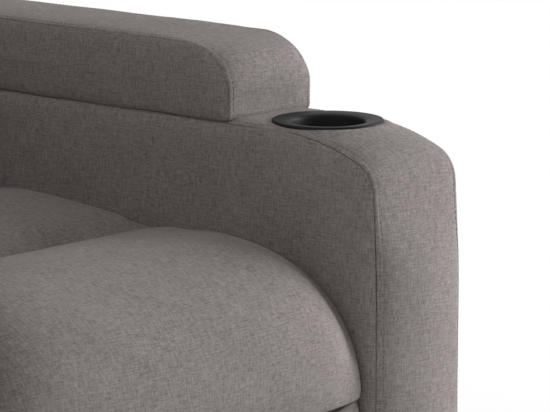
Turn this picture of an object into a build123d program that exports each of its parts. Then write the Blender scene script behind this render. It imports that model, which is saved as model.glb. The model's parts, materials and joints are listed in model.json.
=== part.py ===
"""Massage recliner, in millimetres: one STEP file for each sub-part.

X runs from the sitter's right to the sitter's left, Y from front to back, and Z up from the floor.
The origin is on the floor, under the middle of the chair at rest.
"""

from math import cos, radians, sin
from pathlib import Path

from build123d import *

# Clearances
cloth_gap = 0.3
running_gap = 0.1
swing_gap = 0.5
cut_over = 1.0

# Overall layout, with lengths along Y counted back from the front of the seat
hinge_setback = 640.0
hinge_height = 330.0
seat_opening = 500.0
seat_side_gap = 4.0
back_side_gap = 4.0
footrest_side_gap = 8.0

# Arms
foot_height = 45.0
foot_radius = 26.0
foot_taper = 3.0
arm_setback = 15.5
arm_length = 735.0
arm_top = 588.4
band_width = 124.0
band_thickness = 28.0
band_crown = 4.0
panel_bulge = 8.0
panel_inset = 40.0
panel_edge = 1.0
inner_panel_bottom = 112.0
crown_radius = 265.0
crown_turn = 23.0
corner_radius = 32.5
corner_turn = 62.0
bow_radius = 1150.0
arm_rear_radius = 46.0
frame_board = 15.0
foot_block_length = 90.0
foot_block_height = 40.0
foot_inset = 75.0

# Arm pads and cup holders
pad_setback = 191.2
pad_height = 79.5
pad_rear_gap = 14.0
pad_front_radius = 48.0
pad_foot_radius = 14.0
pad_rear_radius = 30.0
pad_side_draw = 3.0
pad_crown = 4.0
cup_setback = 118.0
cup_sink = 4.0
cup_rim_radius = 56.0
cup_lip_width = 5.0
cup_bore_radius = 38.0
cup_floor_radius = 34.0
cup_cone_depth = 10.0
cup_depth = 64.0
cup_wall = 2.5
cup_lip_height = 4.0

# Cross rails, side plates and seat support
rail_size = 40.0
rail_wall = 2.5
rail_bottom = 60.0
front_rail_setback = 240.0
rear_rail_setback = 688.0
plate_thickness = 3.0
plate_inset = 4.0
plate_front = 168.0
plate_post = 128.0
plate_beam = 84.0
plate_foot_radius = 6.0
flange_width = 46.0
flange_front = 200.0
seat_rail_height = 28.0
seat_rail_width = 38.0
seat_rail_front = 82.0
seat_rail_rear = 524.0
seat_rail_inset = 6.0
seat_rail_rise = 20.0
strap_width = 52.0
strap_thickness = 2.0
strap_count = 4

# Seat cushion: the front roll's points at the middle, and how far they drop and draw back at the sides
seat_rear = 528.0
seat_crown = 499.5
seat_lip_setback = 13.4
seat_lip_drop = 3.5
seat_lip_gap = 2.0
seat_lip_taper = 6.0
seat_bulge_share = 0.325
seat_shoulder_setback = 34.4
seat_shoulder_drop = 36.5
seat_roll_setback = 129.6
seat_channel = 284.0
seat_channel_depth = 28.5
seat_channel_slope = 0.35
seat_rear_rise = 8.5
seat_rear_fall = 5.5
seat_side_drop = 26.0
seat_side_draw = 25.0
seat_lip_draw = 0.6
seat_shoulder_draw = 1.53
seat_roll_draw = 1.24

# Footrest linkage: two crossed stages on each side, folded at rest
link_length = 200.0
link_width = 24.0
link_thickness = 3.0
link_gap = 2.0
fold_angle = 75.0
spread_angle = 18.0
track_tilt = 6.0
panel_turn = 90.0
drive_setback = 212.0
drive_drop = 21.0
drive_tube_radius = 10.0
drive_tube_wall = 2.0
pin_radius = 4.0
pin_head_radius = 7.0
pin_head = 1.5
bracket_gap = 3.0
link_hub_radius = 15.0
cam_margin = 12.0
cam_points = 9
bracket_flange = 30.0
bracket_window = 24.0

# Footrest pad and board
footrest_depth = 55.0
footrest_gap = 14.5
footrest_height = 229.0
footrest_shoulder = 34.0
footrest_side_draw = 16.0
footrest_side_tuck = 6.0
footrest_board_thickness = 15.0
footrest_board_inset = 10.0
footrest_board_radius = 20.0

# Release lever
lever_length = 172.0
lever_angle = -10.0
lever_hub_radius = 21.0
lever_tip_radius = 13.0
lever_thickness = 10.0
lever_grip = 8.0
lever_grip_length = 70.0
lever_grip_inset = 1.0
lever_edge = 3.0
bezel_radius = 31.0
bezel_thickness = 2.0
bezel_edge = 1.0

# Backrest, measured along its own leaning plane from the hinge axis
back_lean = 15.0
back_height = 735.0
back_bottom = 40.0
back_depth = 70.0
back_top_radius = 45.0
back_edge_radius = 18.0
cover_wall = 14.0
back_board_thickness = 6.0
stile_width = 30.0
stile_depth = 40.0
frame_foot_gap = 20.0
frame_head_gap = 10.0
bolster_depth = 150.0
bolster_shoulder = 82.0
bolster_bottom = 58.0
headrest_drop = 22.0
bolster_gap = 2.0
bolster_inset = 1.0
bolster_side_draw = 34.0
bolster_side_tuck = 7.0
lumbar_height = 208.0
middle_height = 208.0
middle_recess = 10.0
headrest_recess = 4.0
hinge_pin_radius = 6.0
hinge_plate_radius = 20.0
hinge_plate_length = 150.0
hinge_plate_bend = 70.0
hinge_collar = 10.0
hinge_plate_inset = 2.0

# Massage motors and electrics
motor_radius = 26.0
motor_height = 24.0
motor_spacing = 210.0
motor_pocket_gap = 1.0
motor_edge = 3.0
seat_motor_setback = 330.0
control_box_width = 140.0
control_box_depth = 34.0
control_box_height = 48.0
control_box_edge = 4.0
control_box_inset = 140.0
skirt_thickness = 6.0
skirt_drop = 34.0
skirt_gap = 2.0
inlet_radius = 7.0
inlet_flange_radius = 11.0
inlet_flange = 2.5
inlet_edge = 1.0
inlet_bore_radius = 4.0
inlet_bore_depth = 12.0

# Side pocket and hand controller
pocket_setback = 270.0
pocket_width = 170.0
pocket_bottom = 250.0
pocket_height = 100.0
pocket_wall = 2.0
pocket_radius = 6.0
controller_width = 54.0
controller_height = 172.0
controller_thickness = 15.0
controller_radius = 5.0
button_radius = 5.0
button_travel = 1.2
button_proud = 1.6
button_length = 4.0
button_edge = 0.8
button_drop = 24.0
button_row_pitch = 20.0
button_pitch = 22.0

# Places worked out from the sizes above
lean_cos = cos(radians(back_lean))
lean_sin = sin(radians(back_lean))
back_reach = (
    lean_cos * (back_depth - back_top_radius)
    + lean_sin * (back_height - back_top_radius)
    + back_top_radius
)
front = -(hinge_setback + back_reach) / 2
hinge_y = front + hinge_setback
seam_in = seat_opening / 2 + panel_bulge
seam_out = seam_in + band_width
arm_mid = (seam_in + seam_out) / 2
arm_face = seam_out + panel_bulge
arm_front = front + arm_setback
arm_rear = arm_front + arm_length
cup_y = arm_front + cup_setback
cup_seat = arm_top + band_crown + cloth_gap - cup_sink
cup_lip_inner = cup_rim_radius - cup_lip_width
cup_shell_radius = cup_bore_radius + cup_wall
rail_top = rail_bottom + rail_size
plate_out = seat_opening / 2 - plate_inset
plate_in = plate_out - plate_thickness
drive_layer = plate_in - link_gap - link_thickness
swing_layer = drive_layer - link_gap - link_thickness
bracket_layer = swing_layer - bracket_gap - link_thickness
seat_rail_out = bracket_layer - seat_rail_inset
seat_rail_top = hinge_height + seat_rail_rise
seat_rail_bottom = seat_rail_top - seat_rail_height
seat_half = seat_opening / 2 - seat_side_gap
seat_lip_height = seat_rail_top - seat_lip_drop
seat_channel_height = seat_crown - seat_channel_depth
drive_height = seat_rail_bottom - drive_drop
footrest_half = seat_opening / 2 - footrest_side_gap
footrest_top = seat_lip_height - footrest_gap
footrest_bottom = footrest_top - footrest_height
back_half = seat_opening / 2 - back_side_gap
bolster_half = back_half - bolster_inset
skirt_top = hinge_height - skirt_drop
control_box_x = seat_opening / 2 - control_box_inset
cushion_bottom = seat_rail_top + strap_thickness + cloth_gap
board_front = front + footrest_depth + cloth_gap
board_rear = board_front + footrest_board_thickness
stile_out = back_half - cover_wall - plate_thickness - swing_gap


def forward(start, length, heading):
    """Point at a length and heading from another, with the heading turned up from straight ahead."""
    angle = radians(heading)
    return (start[0] - length * cos(angle), start[1] + length * sin(angle))


drive_heading = track_tilt - fold_angle
swing_heading = track_tilt + fold_angle
drive_axis = (front + drive_setback, drive_height)
tube_hole_radius = drive_tube_radius + swing_gap
drive_mid = forward(drive_axis, link_length / 2, drive_heading)
drive_end = forward(drive_axis, link_length, drive_heading)
track_closed = forward(drive_axis, link_length * sin(radians(fold_angle)), track_tilt - 90)
track_open = forward(drive_axis, link_length * sin(radians(spread_angle)), track_tilt - 90)
swing_end = forward(track_closed, link_length, swing_heading)
outer_mid = forward(swing_end, link_length / 2, drive_heading)
outer_end = forward(swing_end, link_length, drive_heading)
carrier_end = forward(drive_end, link_length, swing_heading)


def cam_point(share):
    """Place of the outer link's pin in the footrest bracket, at a share of the footrest's travel."""
    fold = fold_angle - (fold_angle - spread_angle) * share
    heading = track_tilt - 90 - panel_turn * share
    return forward(carrier_end, link_length * sin(radians(fold)), heading)


def side_plane(x):
    """Upright plane across the chair at x, with its own x axis to the rear and its y axis up."""
    return Plane.YZ.offset(x)


def back_plane(x):
    """Plane across the backrest at x, with its x axis out of the back and its y axis up the back."""
    return Plane((x, hinge_y, hinge_height), x_dir=(0, lean_cos, -lean_sin), z_dir=(1, 0, 0))


def across(x, point):
    """Location at a side-view point, with its z axis along the chair's X."""
    return Location((x, point[0], point[1]), (0, 90, 0))


def save(part, name):
    """Label a finished piece and write its STEP file."""
    part.label = name
    export_step(part, f"parts/{name}.step")


def save_pair(part, name):
    """Write a piece made for the sitter's left, and its mirror image for the right."""
    with BuildPart() as twin:
        mirror(part, about=Plane.YZ)
    save(part, f"{name}_left")
    save(twin.part, f"{name}_right")


def rod(x_from, x_to, point, radius, mode=Mode.ADD):
    """Add or cut a round bar that runs along X at a side-view point."""
    with Locations(across(x_from, point)):
        Cylinder(radius, x_to - x_from, align=(Align.CENTER, Align.CENTER, Align.MIN), mode=mode)


def block(x_range, y_range, z_range, mode=Mode.ADD):
    """Add or cut a block between two values on each axis."""
    with Locations((x_range[0], y_range[0], z_range[0])):
        Box(
            x_range[1] - x_range[0],
            y_range[1] - y_range[0],
            z_range[1] - z_range[0],
            align=(Align.MIN, Align.MIN, Align.MIN),
            mode=mode,
        )


def arm_outline(grow, bottom):
    """The arm's side outline, grown outward all round but flat at the bottom."""
    rim = arm_front - grow
    top = arm_top + grow
    back = arm_rear + grow
    crown = crown_radius + grow
    corner = corner_radius + max(grow, 0.0)
    bow = bow_radius + grow
    corner_end = crown_turn + corner_turn
    crown_run = crown * sin(radians(crown_turn))
    corner_run = corner * (sin(radians(corner_end)) - sin(radians(crown_turn)))
    bow_run = bow * (1 - sin(radians(corner_end)))
    with BuildLine() as outline:
        crown_arc = JernArc((rim + crown_run + corner_run + bow_run, top), (-1, 0), crown, crown_turn)
        corner_arc = JernArc(crown_arc @ 1, crown_arc % 1, corner, corner_turn)
        bow_arc = JernArc(corner_arc @ 1, corner_arc % 1, bow, 90 - corner_end)
        sides = Polyline(bow_arc @ 1, (rim, bottom), (back, bottom), (back, top - arm_rear_radius - grow))
        rear_arc = JernArc(sides @ 1, (0, 1), arm_rear_radius + grow, 90)
        Line(rear_arc @ 1, crown_arc @ 0)
    return outline.edges()


def pad_outline(grow, bottom):
    """An arm pad's side outline, with a rounded nose that is drawn in under its front."""
    top = arm_top + cloth_gap + pad_height + grow
    nose = arm_front + pad_setback - grow
    tail = arm_rear - pad_rear_gap + grow
    with BuildLine() as outline:
        nose_arc = JernArc((nose + pad_front_radius, top), (-1, 0), pad_front_radius, 90)
        fall = Line(nose_arc @ 1, (nose, bottom + pad_foot_radius))
        foot_arc = JernArc(fall @ 1, (0, -1), pad_foot_radius, 90)
        base = Polyline(foot_arc @ 1, (tail, bottom), (tail, top - pad_rear_radius))
        tail_arc = JernArc(base @ 1, (0, 1), pad_rear_radius, 90)
        Line(tail_arc @ 1, nose_arc @ 0)
    return outline.edges()


def seat_outline(drop, draw):
    """The seat cushion's side outline, lowered and drawn back as it is toward its sides."""
    rear = front + seat_rear
    under = front + seat_rail_front - seat_lip_gap
    lip = (front + seat_lip_setback + seat_lip_draw * draw, seat_lip_height)
    shoulder = (
        front + seat_shoulder_setback + seat_shoulder_draw * draw,
        seat_crown - seat_shoulder_drop - drop,
    )
    bulge = (front + draw, seat_lip_height + seat_bulge_share * (shoulder[1] - seat_lip_height))
    roll_top = (front + seat_roll_setback + seat_roll_draw * draw, seat_crown - drop)
    channel = (front + seat_channel, seat_channel_height)
    rear_crown = seat_crown + seat_rear_rise - drop
    with BuildLine() as outline:
        roll = Spline(
            lip,
            bulge,
            shoulder,
            roll_top,
            channel,
            tangents=((-1, 2), (1, -seat_channel_slope)),
        )
        rear_arc = ThreePointArc(
            roll @ 1,
            (front + (seat_channel + seat_rear) / 2, rear_crown),
            (rear, seat_crown - seat_rear_fall - drop / 2),
        )
        Polyline(
            rear_arc @ 1,
            (rear, cushion_bottom),
            (under, cushion_bottom),
            (under - seat_lip_taper, seat_lip_height),
            roll @ 0,
        )
    return outline.edges()


def bolster_outline(depth, low, high):
    """A padded roll's side outline, flat behind and swollen in front."""
    shoulder = depth - bolster_depth + bolster_shoulder
    with BuildLine() as outline:
        base = Polyline((-shoulder, high), (-cloth_gap, high), (-cloth_gap, low), (-shoulder, low))
        ThreePointArc(base @ 1, (-depth, (low + high) / 2), base @ 0)
    return outline.edges()


def footrest_pad_outline(draw, tuck):
    """The footrest pad's side outline, thinner and shorter toward its sides."""
    low = footrest_bottom + tuck
    high = footrest_top - tuck
    base_y = front + footrest_depth
    edge_y = base_y - footrest_shoulder + draw
    with BuildLine() as outline:
        base = Polyline((edge_y, high), (base_y, high), (base_y, low), (edge_y, low))
        ThreePointArc(base @ 1, (front + draw, (low + high) / 2), base @ 0)
    return outline.edges()


def link_outline(start, heading, fixed_holes, running_holes):
    """Sketch of a flat link with round ends, with holes for the pins it carries and those it turns on."""
    with BuildSketch() as outline:
        with Locations(forward(start, link_length / 2, heading)):
            SlotCenterToCenter(link_length, link_width, rotation=180 - heading)
        with Locations(*fixed_holes):
            Circle(pin_radius, mode=Mode.SUBTRACT)
        with Locations(*running_holes):
            Circle(pin_radius + running_gap, mode=Mode.SUBTRACT)
    return outline.sketch


def headed_pin(x_from, x_to, point):
    """Add a pin between two faces, with a flat head beyond each."""
    rod(x_from, x_to, point, pin_radius)
    rod(x_from - pin_head, x_from, point, pin_head_radius)
    rod(x_to, x_to + pin_head, point, pin_head_radius)


# Stations across a cushion, from side to side, at which its outline is drawn
cushion_stations = (-1.0, -0.94, -0.82, -0.6, 0.0, 0.6, 0.82, 0.94, 1.0)


def side_draw(station):
    """Share of a cushion's full side draw at a station, which grows fast near the sides."""
    return station**6


def mirror_here():
    """Add the mirror image of everything built so far on the other side of the chair."""
    mirror(about=Plane.YZ)


Path("parts").mkdir(exist_ok=True)

# Arm frames: plywood boxes, open below, with a block over each foot
foot_places = [
    (arm_mid, arm_front + foot_inset),
    (arm_mid, arm_rear - foot_inset),
]
with BuildPart() as arm_frame:
    with BuildSketch(side_plane(seam_in)):
        make_face(arm_outline(-band_thickness, foot_height))
    extrude(amount=band_width)
    with BuildSketch(side_plane(seam_in + frame_board)):
        make_face(arm_outline(-band_thickness - frame_board, foot_height - cut_over))
    extrude(amount=band_width - 2 * frame_board, mode=Mode.SUBTRACT)
    with Locations(*[(x, y, foot_height) for x, y in foot_places]):
        Box(
            band_width - frame_board,
            foot_block_length,
            foot_block_height,
            align=(Align.CENTER, Align.CENTER, Align.MIN),
        )
    with Locations((arm_mid, cup_y, arm_top - band_thickness)):
        Cylinder(cup_shell_radius + swing_gap, 6 * frame_board, mode=Mode.SUBTRACT)
with BuildPart() as arm_frame_right:
    mirror(arm_frame.part, about=Plane.YZ)
    rod(-arm_face, -seam_in + cut_over, drive_axis, tube_hole_radius, Mode.SUBTRACT)
save(arm_frame.part, "arm_frame_left")
save(arm_frame_right.part, "arm_frame_right")

# Arm side panels: crowned pads on each face of the frame, each drawn at three steps of its bulge
panel_steps = ((0.0, panel_edge), (0.6, 0.3 * panel_inset), (1.0, panel_inset))
with BuildPart() as arm_inner_panel:
    for share, inset in panel_steps:
        with BuildSketch(side_plane(seam_in - share * panel_bulge)):
            make_face(arm_outline(-inset, inner_panel_bottom + inset))
    loft()
with BuildPart() as arm_inner_panel_right:
    mirror(arm_inner_panel.part, about=Plane.YZ)
    rod(-seam_in - cut_over, -seat_opening / 2 + cut_over, drive_axis, tube_hole_radius, Mode.SUBTRACT)
save(arm_inner_panel.part, "arm_inner_panel_left")
save(arm_inner_panel_right.part, "arm_inner_panel_right")

with BuildPart() as arm_outer_panel:
    for share, inset in panel_steps:
        with BuildSketch(side_plane(seam_out + share * panel_bulge)):
            make_face(arm_outline(-inset, foot_height + inset))
    loft()
with BuildPart() as arm_outer_panel_right:
    mirror(arm_outer_panel.part, about=Plane.YZ)
    rod(-arm_face - cut_over, -seam_out + cut_over, drive_axis, tube_hole_radius, Mode.SUBTRACT)
save(arm_outer_panel.part, "arm_outer_panel_left")
save(arm_outer_panel_right.part, "arm_outer_panel_right")

# Arm bands: crowned strips up the front, over the top and down the rear, with a hole for the cup
with BuildPart() as arm_band:
    for x, grow in ((seam_in, 0.0), (arm_mid, band_crown), (seam_out, 0.0)):
        with BuildSketch(side_plane(x)):
            make_face(arm_outline(grow, foot_height))
    loft()
    with BuildSketch(side_plane(seam_in - cut_over)):
        make_face(arm_outline(-band_thickness, foot_height - cut_over))
    extrude(amount=band_width + 2 * cut_over, mode=Mode.SUBTRACT)
    with Locations((arm_mid, cup_y, arm_top)):
        Cylinder(cup_lip_inner + swing_gap, 3 * band_thickness, mode=Mode.SUBTRACT)
    with Locations((arm_mid, cup_y, cup_seat - cloth_gap)):
        Cylinder(
            cup_rim_radius + swing_gap,
            band_thickness,
            align=(Align.CENTER, Align.CENTER, Align.MIN),
            mode=Mode.SUBTRACT,
        )
save_pair(arm_band.part, "arm_band")

# Arm pads: raised cushions on the bands, behind the cup holders
with BuildPart() as arm_pad:
    for x, grow, rise in (
        (seam_in, -pad_side_draw, 0.0),
        (arm_mid, pad_crown, band_crown),
        (seam_out, -pad_side_draw, 0.0),
    ):
        with BuildSketch(side_plane(x)):
            make_face(pad_outline(grow, arm_top + cloth_gap + rise))
    loft()
save_pair(arm_pad.part, "arm_pad")

# Cup holders: turned cups with a flat lip and a wide conical rim
cup_section = Plane((arm_mid, cup_y, cup_seat), x_dir=(1, 0, 0), z_dir=(0, -1, 0))
with BuildPart() as cup_holder:
    with BuildSketch(cup_section):
        with BuildLine():
            cone_foot = cup_lip_height - cup_cone_depth
            floor_top = cup_lip_height - cup_depth
            Polyline(
                (0, floor_top - cup_wall),
                (cup_floor_radius + cup_wall, floor_top - cup_wall),
                (cup_shell_radius, cone_foot - cup_wall),
                (cup_lip_inner, 0),
                (cup_rim_radius, 0),
                (cup_rim_radius, cup_lip_height / 2),
                (cup_rim_radius - cup_lip_height / 2, cup_lip_height),
                (cup_lip_inner, cup_lip_height),
                (cup_bore_radius, cone_foot),
                (cup_floor_radius, floor_top),
                (0, floor_top),
                close=True,
            )
        make_face()
    revolve(axis=Axis((arm_mid, cup_y, 0), (0, 0, 1)))
save_pair(cup_holder.part, "cup_holder")

# Feet under the arms
with BuildPart() as feet:
    with Locations(*[(x, y, 0) for x, y in foot_places]):
        Cone(
            foot_radius - foot_taper,
            foot_radius,
            foot_height,
            align=(Align.CENTER, Align.CENTER, Align.MIN),
        )
    mirror_here()
save(feet.part, "feet")

# Cross rails: square tubes between the arm frames
rail_room = rail_size - 2 * rail_wall
for rail_name, rail_setback in (("front", front_rail_setback), ("rear", rear_rail_setback)):
    with BuildPart() as cross_rail:
        with BuildSketch(side_plane(-seam_in)):
            with Locations((front + rail_setback + rail_size / 2, rail_bottom + rail_size / 2)):
                RectangleRounded(rail_size, rail_size, 2 * rail_wall)
                RectangleRounded(rail_room, rail_room, rail_wall, mode=Mode.SUBTRACT)
        extrude(amount=2 * seam_in)
    save(cross_rail.part, f"{rail_name}_cross_rail")

# Side plates: they stand on the cross rails and carry the seat, the footrest links and the back
plate_top = seat_rail_bottom
plate_beam_bottom = plate_top - plate_beam
rear_post = front + rear_rail_setback
with BuildPart() as side_plate:
    with BuildSketch(side_plane(plate_in)):
        with BuildLine():
            Polyline(
                (front + plate_front, rail_top),
                (front + plate_front + plate_post, rail_top),
                (front + plate_front + plate_post, plate_beam_bottom),
                (rear_post - plate_post / 2, plate_beam_bottom),
                (rear_post, rail_top),
                (rear_post + rail_size, rail_top),
                (hinge_y + hinge_plate_radius, hinge_height),
                (hinge_y, hinge_height + hinge_plate_radius),
                (hinge_y - hinge_plate_radius, plate_top),
                (front + plate_front, plate_top),
                close=True,
            )
        make_face()
        with Locations((hinge_y, hinge_height)):
            Circle(hinge_plate_radius)
        fillet(vertices().group_by(Axis.Y)[0], plate_foot_radius)
        with Locations(drive_axis):
            Circle(drive_tube_radius + running_gap, mode=Mode.SUBTRACT)
        with Locations((hinge_y, hinge_height)):
            Circle(hinge_pin_radius + running_gap, mode=Mode.SUBTRACT)
        track_middle = ((track_closed[0] + track_open[0]) / 2, (track_closed[1] + track_open[1]) / 2)
        track_run = link_length * (sin(radians(fold_angle)) - sin(radians(spread_angle)))
        with Locations(track_middle):
            SlotCenterToCenter(
                track_run, 2 * (pin_radius + running_gap), rotation=90 - track_tilt, mode=Mode.SUBTRACT
            )
    extrude(amount=plate_thickness)
    block(
        (plate_in - flange_width, plate_in),
        (front + flange_front, hinge_y - hinge_plate_radius),
        (plate_top - plate_thickness, plate_top),
    )
    for rail_y in (front + front_rail_setback, rear_post):
        block(
            (plate_in - rail_size, plate_in),
            (rail_y, rail_y + rail_size),
            (rail_top, rail_top + plate_thickness),
        )
save_pair(side_plate.part, "side_plate")

# Seat rails and straps
side_rail_in = seat_rail_out - seat_rail_width
with BuildPart() as seat_side_rails:
    block(
        (side_rail_in, seat_rail_out),
        (front + seat_rail_front, front + seat_rail_rear),
        (seat_rail_bottom, seat_rail_top),
    )
    mirror_here()
save(seat_side_rails.part, "seat_side_rails")

for rail_name, rail_y in (
    ("front", front + seat_rail_front),
    ("rear", front + seat_rail_rear - seat_rail_width),
):
    with BuildPart() as seat_rail:
        block(
            (-side_rail_in, side_rail_in),
            (rail_y, rail_y + seat_rail_width),
            (seat_rail_bottom, seat_rail_top),
        )
    save(seat_rail.part, f"seat_{rail_name}_rail")

strap_pitch = 2 * side_rail_in / strap_count
strap_middle = front + (seat_rail_front + seat_rail_rear) / 2
with BuildPart() as seat_straps:
    with Locations((0, strap_middle, seat_rail_top)):
        with GridLocations(strap_pitch, 0, strap_count, 1):
            Box(
                strap_width,
                seat_rail_rear - seat_rail_front - seat_rail_width,
                strap_thickness,
                align=(Align.CENTER, Align.CENTER, Align.MIN),
            )
save(seat_straps.part, "seat_straps")

# Seat cushion, with pockets below for its two motors
seat_motor_z = seat_rail_top + strap_thickness
with BuildPart() as seat_cushion:
    for station in cushion_stations:
        draw = side_draw(station)
        with BuildSketch(side_plane(station * seat_half)):
            make_face(seat_outline(draw * seat_side_drop, draw * seat_side_draw))
    loft()
    with Locations((0, front + seat_motor_setback, seat_motor_z)):
        with GridLocations(motor_spacing, 0, 2, 1):
            Cylinder(
                motor_radius + motor_pocket_gap,
                motor_height + motor_pocket_gap,
                align=(Align.CENTER, Align.CENTER, Align.MIN),
                mode=Mode.SUBTRACT,
            )
save(seat_cushion.part, "seat_cushion")

with BuildPart() as seat_motors:
    with Locations((0, front + seat_motor_setback, seat_motor_z)):
        with GridLocations(motor_spacing, 0, 2, 1):
            Cylinder(motor_radius, motor_height, align=(Align.CENTER, Align.CENTER, Align.MIN))
    fillet(edges().group_by(Axis.Z)[-1], motor_edge)
save(seat_motors.part, "seat_motors")

# Drive tube: turns in both side plates and carries the release lever
lever_face = -arm_face - bezel_thickness - swing_gap
with BuildPart() as drive_tube:
    rod(lever_face - lever_thickness, plate_out + pin_head, drive_axis, drive_tube_radius)
    rod(
        lever_face - lever_thickness,
        plate_out + pin_head,
        drive_axis,
        drive_tube_radius - drive_tube_wall,
        Mode.SUBTRACT,
    )
save(drive_tube.part, "drive_tube")

# Footrest links, drawn folded
with BuildPart() as drive_link:
    with BuildSketch(side_plane(drive_layer)):
        add(link_outline(drive_axis, drive_heading, [drive_mid, drive_end], []))
    extrude(amount=link_thickness)
    rod(drive_layer, drive_layer + link_thickness, drive_axis, link_hub_radius)
    rod(drive_layer, drive_layer + link_thickness, drive_axis, drive_tube_radius, Mode.SUBTRACT)
save_pair(drive_link.part, "drive_link")

with BuildPart() as drive_link_pins:
    for place in (drive_mid, drive_end):
        headed_pin(swing_layer, drive_layer + link_thickness, place)
    mirror_here()
save(drive_link_pins.part, "drive_link_pins")

with BuildPart() as swing_link:
    with BuildSketch(side_plane(swing_layer)):
        add(link_outline(track_closed, swing_heading, [track_closed, swing_end], [drive_mid]))
    extrude(amount=link_thickness)
save_pair(swing_link.part, "swing_link")

with BuildPart() as swing_link_pins:
    headed_pin(swing_layer, plate_out + running_gap, track_closed)
    headed_pin(swing_layer, drive_layer + link_thickness, swing_end)
    mirror_here()
save(swing_link_pins.part, "swing_link_pins")

with BuildPart() as outer_link:
    with BuildSketch(side_plane(drive_layer)):
        add(link_outline(swing_end, drive_heading, [outer_mid, outer_end], [swing_end]))
    extrude(amount=link_thickness)
save_pair(outer_link.part, "outer_link")

with BuildPart() as outer_link_pins:
    headed_pin(swing_layer, drive_layer + link_thickness, outer_mid)
    headed_pin(bracket_layer - running_gap, drive_layer + link_thickness, outer_end)
    mirror_here()
save(outer_link_pins.part, "outer_link_pins")

with BuildPart() as carrier_link:
    with BuildSketch(side_plane(swing_layer)):
        add(link_outline(drive_end, swing_heading, [carrier_end], [drive_end, outer_mid]))
    extrude(amount=link_thickness)
save_pair(carrier_link.part, "carrier_link")

with BuildPart() as carrier_link_pins:
    headed_pin(bracket_layer - running_gap, swing_layer + link_thickness, carrier_end)
    mirror_here()
save(carrier_link_pins.part, "carrier_link_pins")

# Footrest brackets: the outer link's pin runs in a curved slot and turns the panel as it goes out
cam_path = [cam_point(step / (cam_points - 1)) for step in range(cam_points)]
bracket_low = footrest_bottom + footrest_board_inset
bracket_high = footrest_top - footrest_board_inset
with BuildPart() as footrest_bracket:
    with BuildSketch(side_plane(bracket_layer)):
        with Locations(*cam_path, carrier_end):
            Circle(cam_margin)
        with Locations((board_rear, (bracket_low + bracket_high) / 2)):
            Rectangle(link_thickness, bracket_high - bracket_low, align=(Align.MIN, Align.CENTER))
        make_hull()
        with BuildLine() as cam_line:
            Spline(*cam_path)
        trace(cam_line.line, 2 * (pin_radius + running_gap), mode=Mode.SUBTRACT)
        with Locations(cam_path[0], cam_path[-1]):
            Circle(pin_radius + running_gap, mode=Mode.SUBTRACT)
        with Locations(carrier_end):
            Circle(pin_radius + running_gap, mode=Mode.SUBTRACT)
        with Locations(((board_rear + cam_path[cam_points // 2][0]) / 2, (bracket_low + bracket_high) / 2)):
            Circle(bracket_window, mode=Mode.SUBTRACT)
    extrude(amount=link_thickness)
    block(
        (bracket_layer + link_thickness - bracket_flange, bracket_layer + link_thickness),
        (board_rear, board_rear + link_thickness),
        (bracket_low, bracket_high),
    )
save_pair(footrest_bracket.part, "footrest_bracket")

# Footrest board and pad
with BuildPart() as footrest_board:
    with BuildSketch(Plane.XZ.offset(-board_rear)):
        with Locations((0, (footrest_bottom + footrest_top) / 2)):
            RectangleRounded(
                2 * (footrest_half - footrest_board_inset),
                footrest_top - footrest_bottom - 2 * footrest_board_inset,
                footrest_board_radius,
            )
    extrude(amount=footrest_board_thickness)
save(footrest_board.part, "footrest_board")

with BuildPart() as footrest_pad:
    for station in cushion_stations:
        draw = side_draw(station)
        with BuildSketch(side_plane(station * footrest_half)):
            make_face(footrest_pad_outline(draw * footrest_side_draw, draw * footrest_side_tuck))
    loft()
save(footrest_pad.part, "footrest_pad")

# Release lever and its bezel, on the outside of the sitter's right arm
lever_tip = forward(drive_axis, lever_length, lever_angle)
grip_start = forward(drive_axis, lever_length - lever_grip_length, lever_angle)
with BuildPart() as release_lever:
    with BuildSketch(side_plane(lever_face - lever_thickness)):
        with Locations(drive_axis):
            Circle(lever_hub_radius)
        with Locations(lever_tip):
            Circle(lever_tip_radius)
        make_hull()
    extrude(amount=lever_thickness)
    with BuildSketch(side_plane(lever_face - lever_thickness - lever_grip)):
        with Locations(grip_start, lever_tip):
            Circle(lever_tip_radius - lever_grip_inset)
        make_hull()
    extrude(amount=lever_grip)
    fillet(faces().sort_by(Axis.X)[0].edges(), lever_edge)
    rod(
        lever_face - lever_thickness - cut_over,
        lever_face + cut_over,
        drive_axis,
        drive_tube_radius,
        Mode.SUBTRACT,
    )
save(release_lever.part, "release_lever")

with BuildPart() as lever_bezel:
    rod(-arm_face - bezel_thickness, -arm_face, drive_axis, bezel_radius)
    fillet(edges().group_by(Axis.X)[0], bezel_edge)
    rod(-arm_face - bezel_thickness, -arm_face, drive_axis, tube_hole_radius, Mode.SUBTRACT)
save(lever_bezel.part, "lever_bezel")

# Backrest frame: stiles, rails and a thin board, inside a padded rear cover
stile_in = stile_out - stile_width
board_back = back_board_thickness
frame_back = back_board_thickness + stile_depth
frame_low = back_bottom + frame_foot_gap
frame_high = back_height - cover_wall - frame_head_gap
with BuildPart() as back_frame:
    with BuildSketch(back_plane(stile_in)):
        with Locations(((board_back + frame_back) / 2, (frame_low + frame_high) / 2)):
            Rectangle(stile_depth, frame_high - frame_low)
    extrude(amount=stile_width)
    mirror_here()
    with BuildSketch(back_plane(-stile_in)):
        for rail_z in (frame_low + stile_width, (frame_low + frame_high) / 2, frame_high - stile_width):
            with Locations(((board_back + frame_back) / 2, rail_z)):
                Rectangle(stile_depth, 2 * stile_width)
    extrude(amount=2 * stile_in)
save(back_frame.part, "back_frame")

with BuildPart() as back_board:
    with BuildSketch(back_plane(-stile_out)):
        with Locations((back_board_thickness / 2, (frame_low + frame_high) / 2)):
            Rectangle(back_board_thickness, frame_high - frame_low)
    extrude(amount=2 * stile_out)
save(back_board.part, "back_board")

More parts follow.
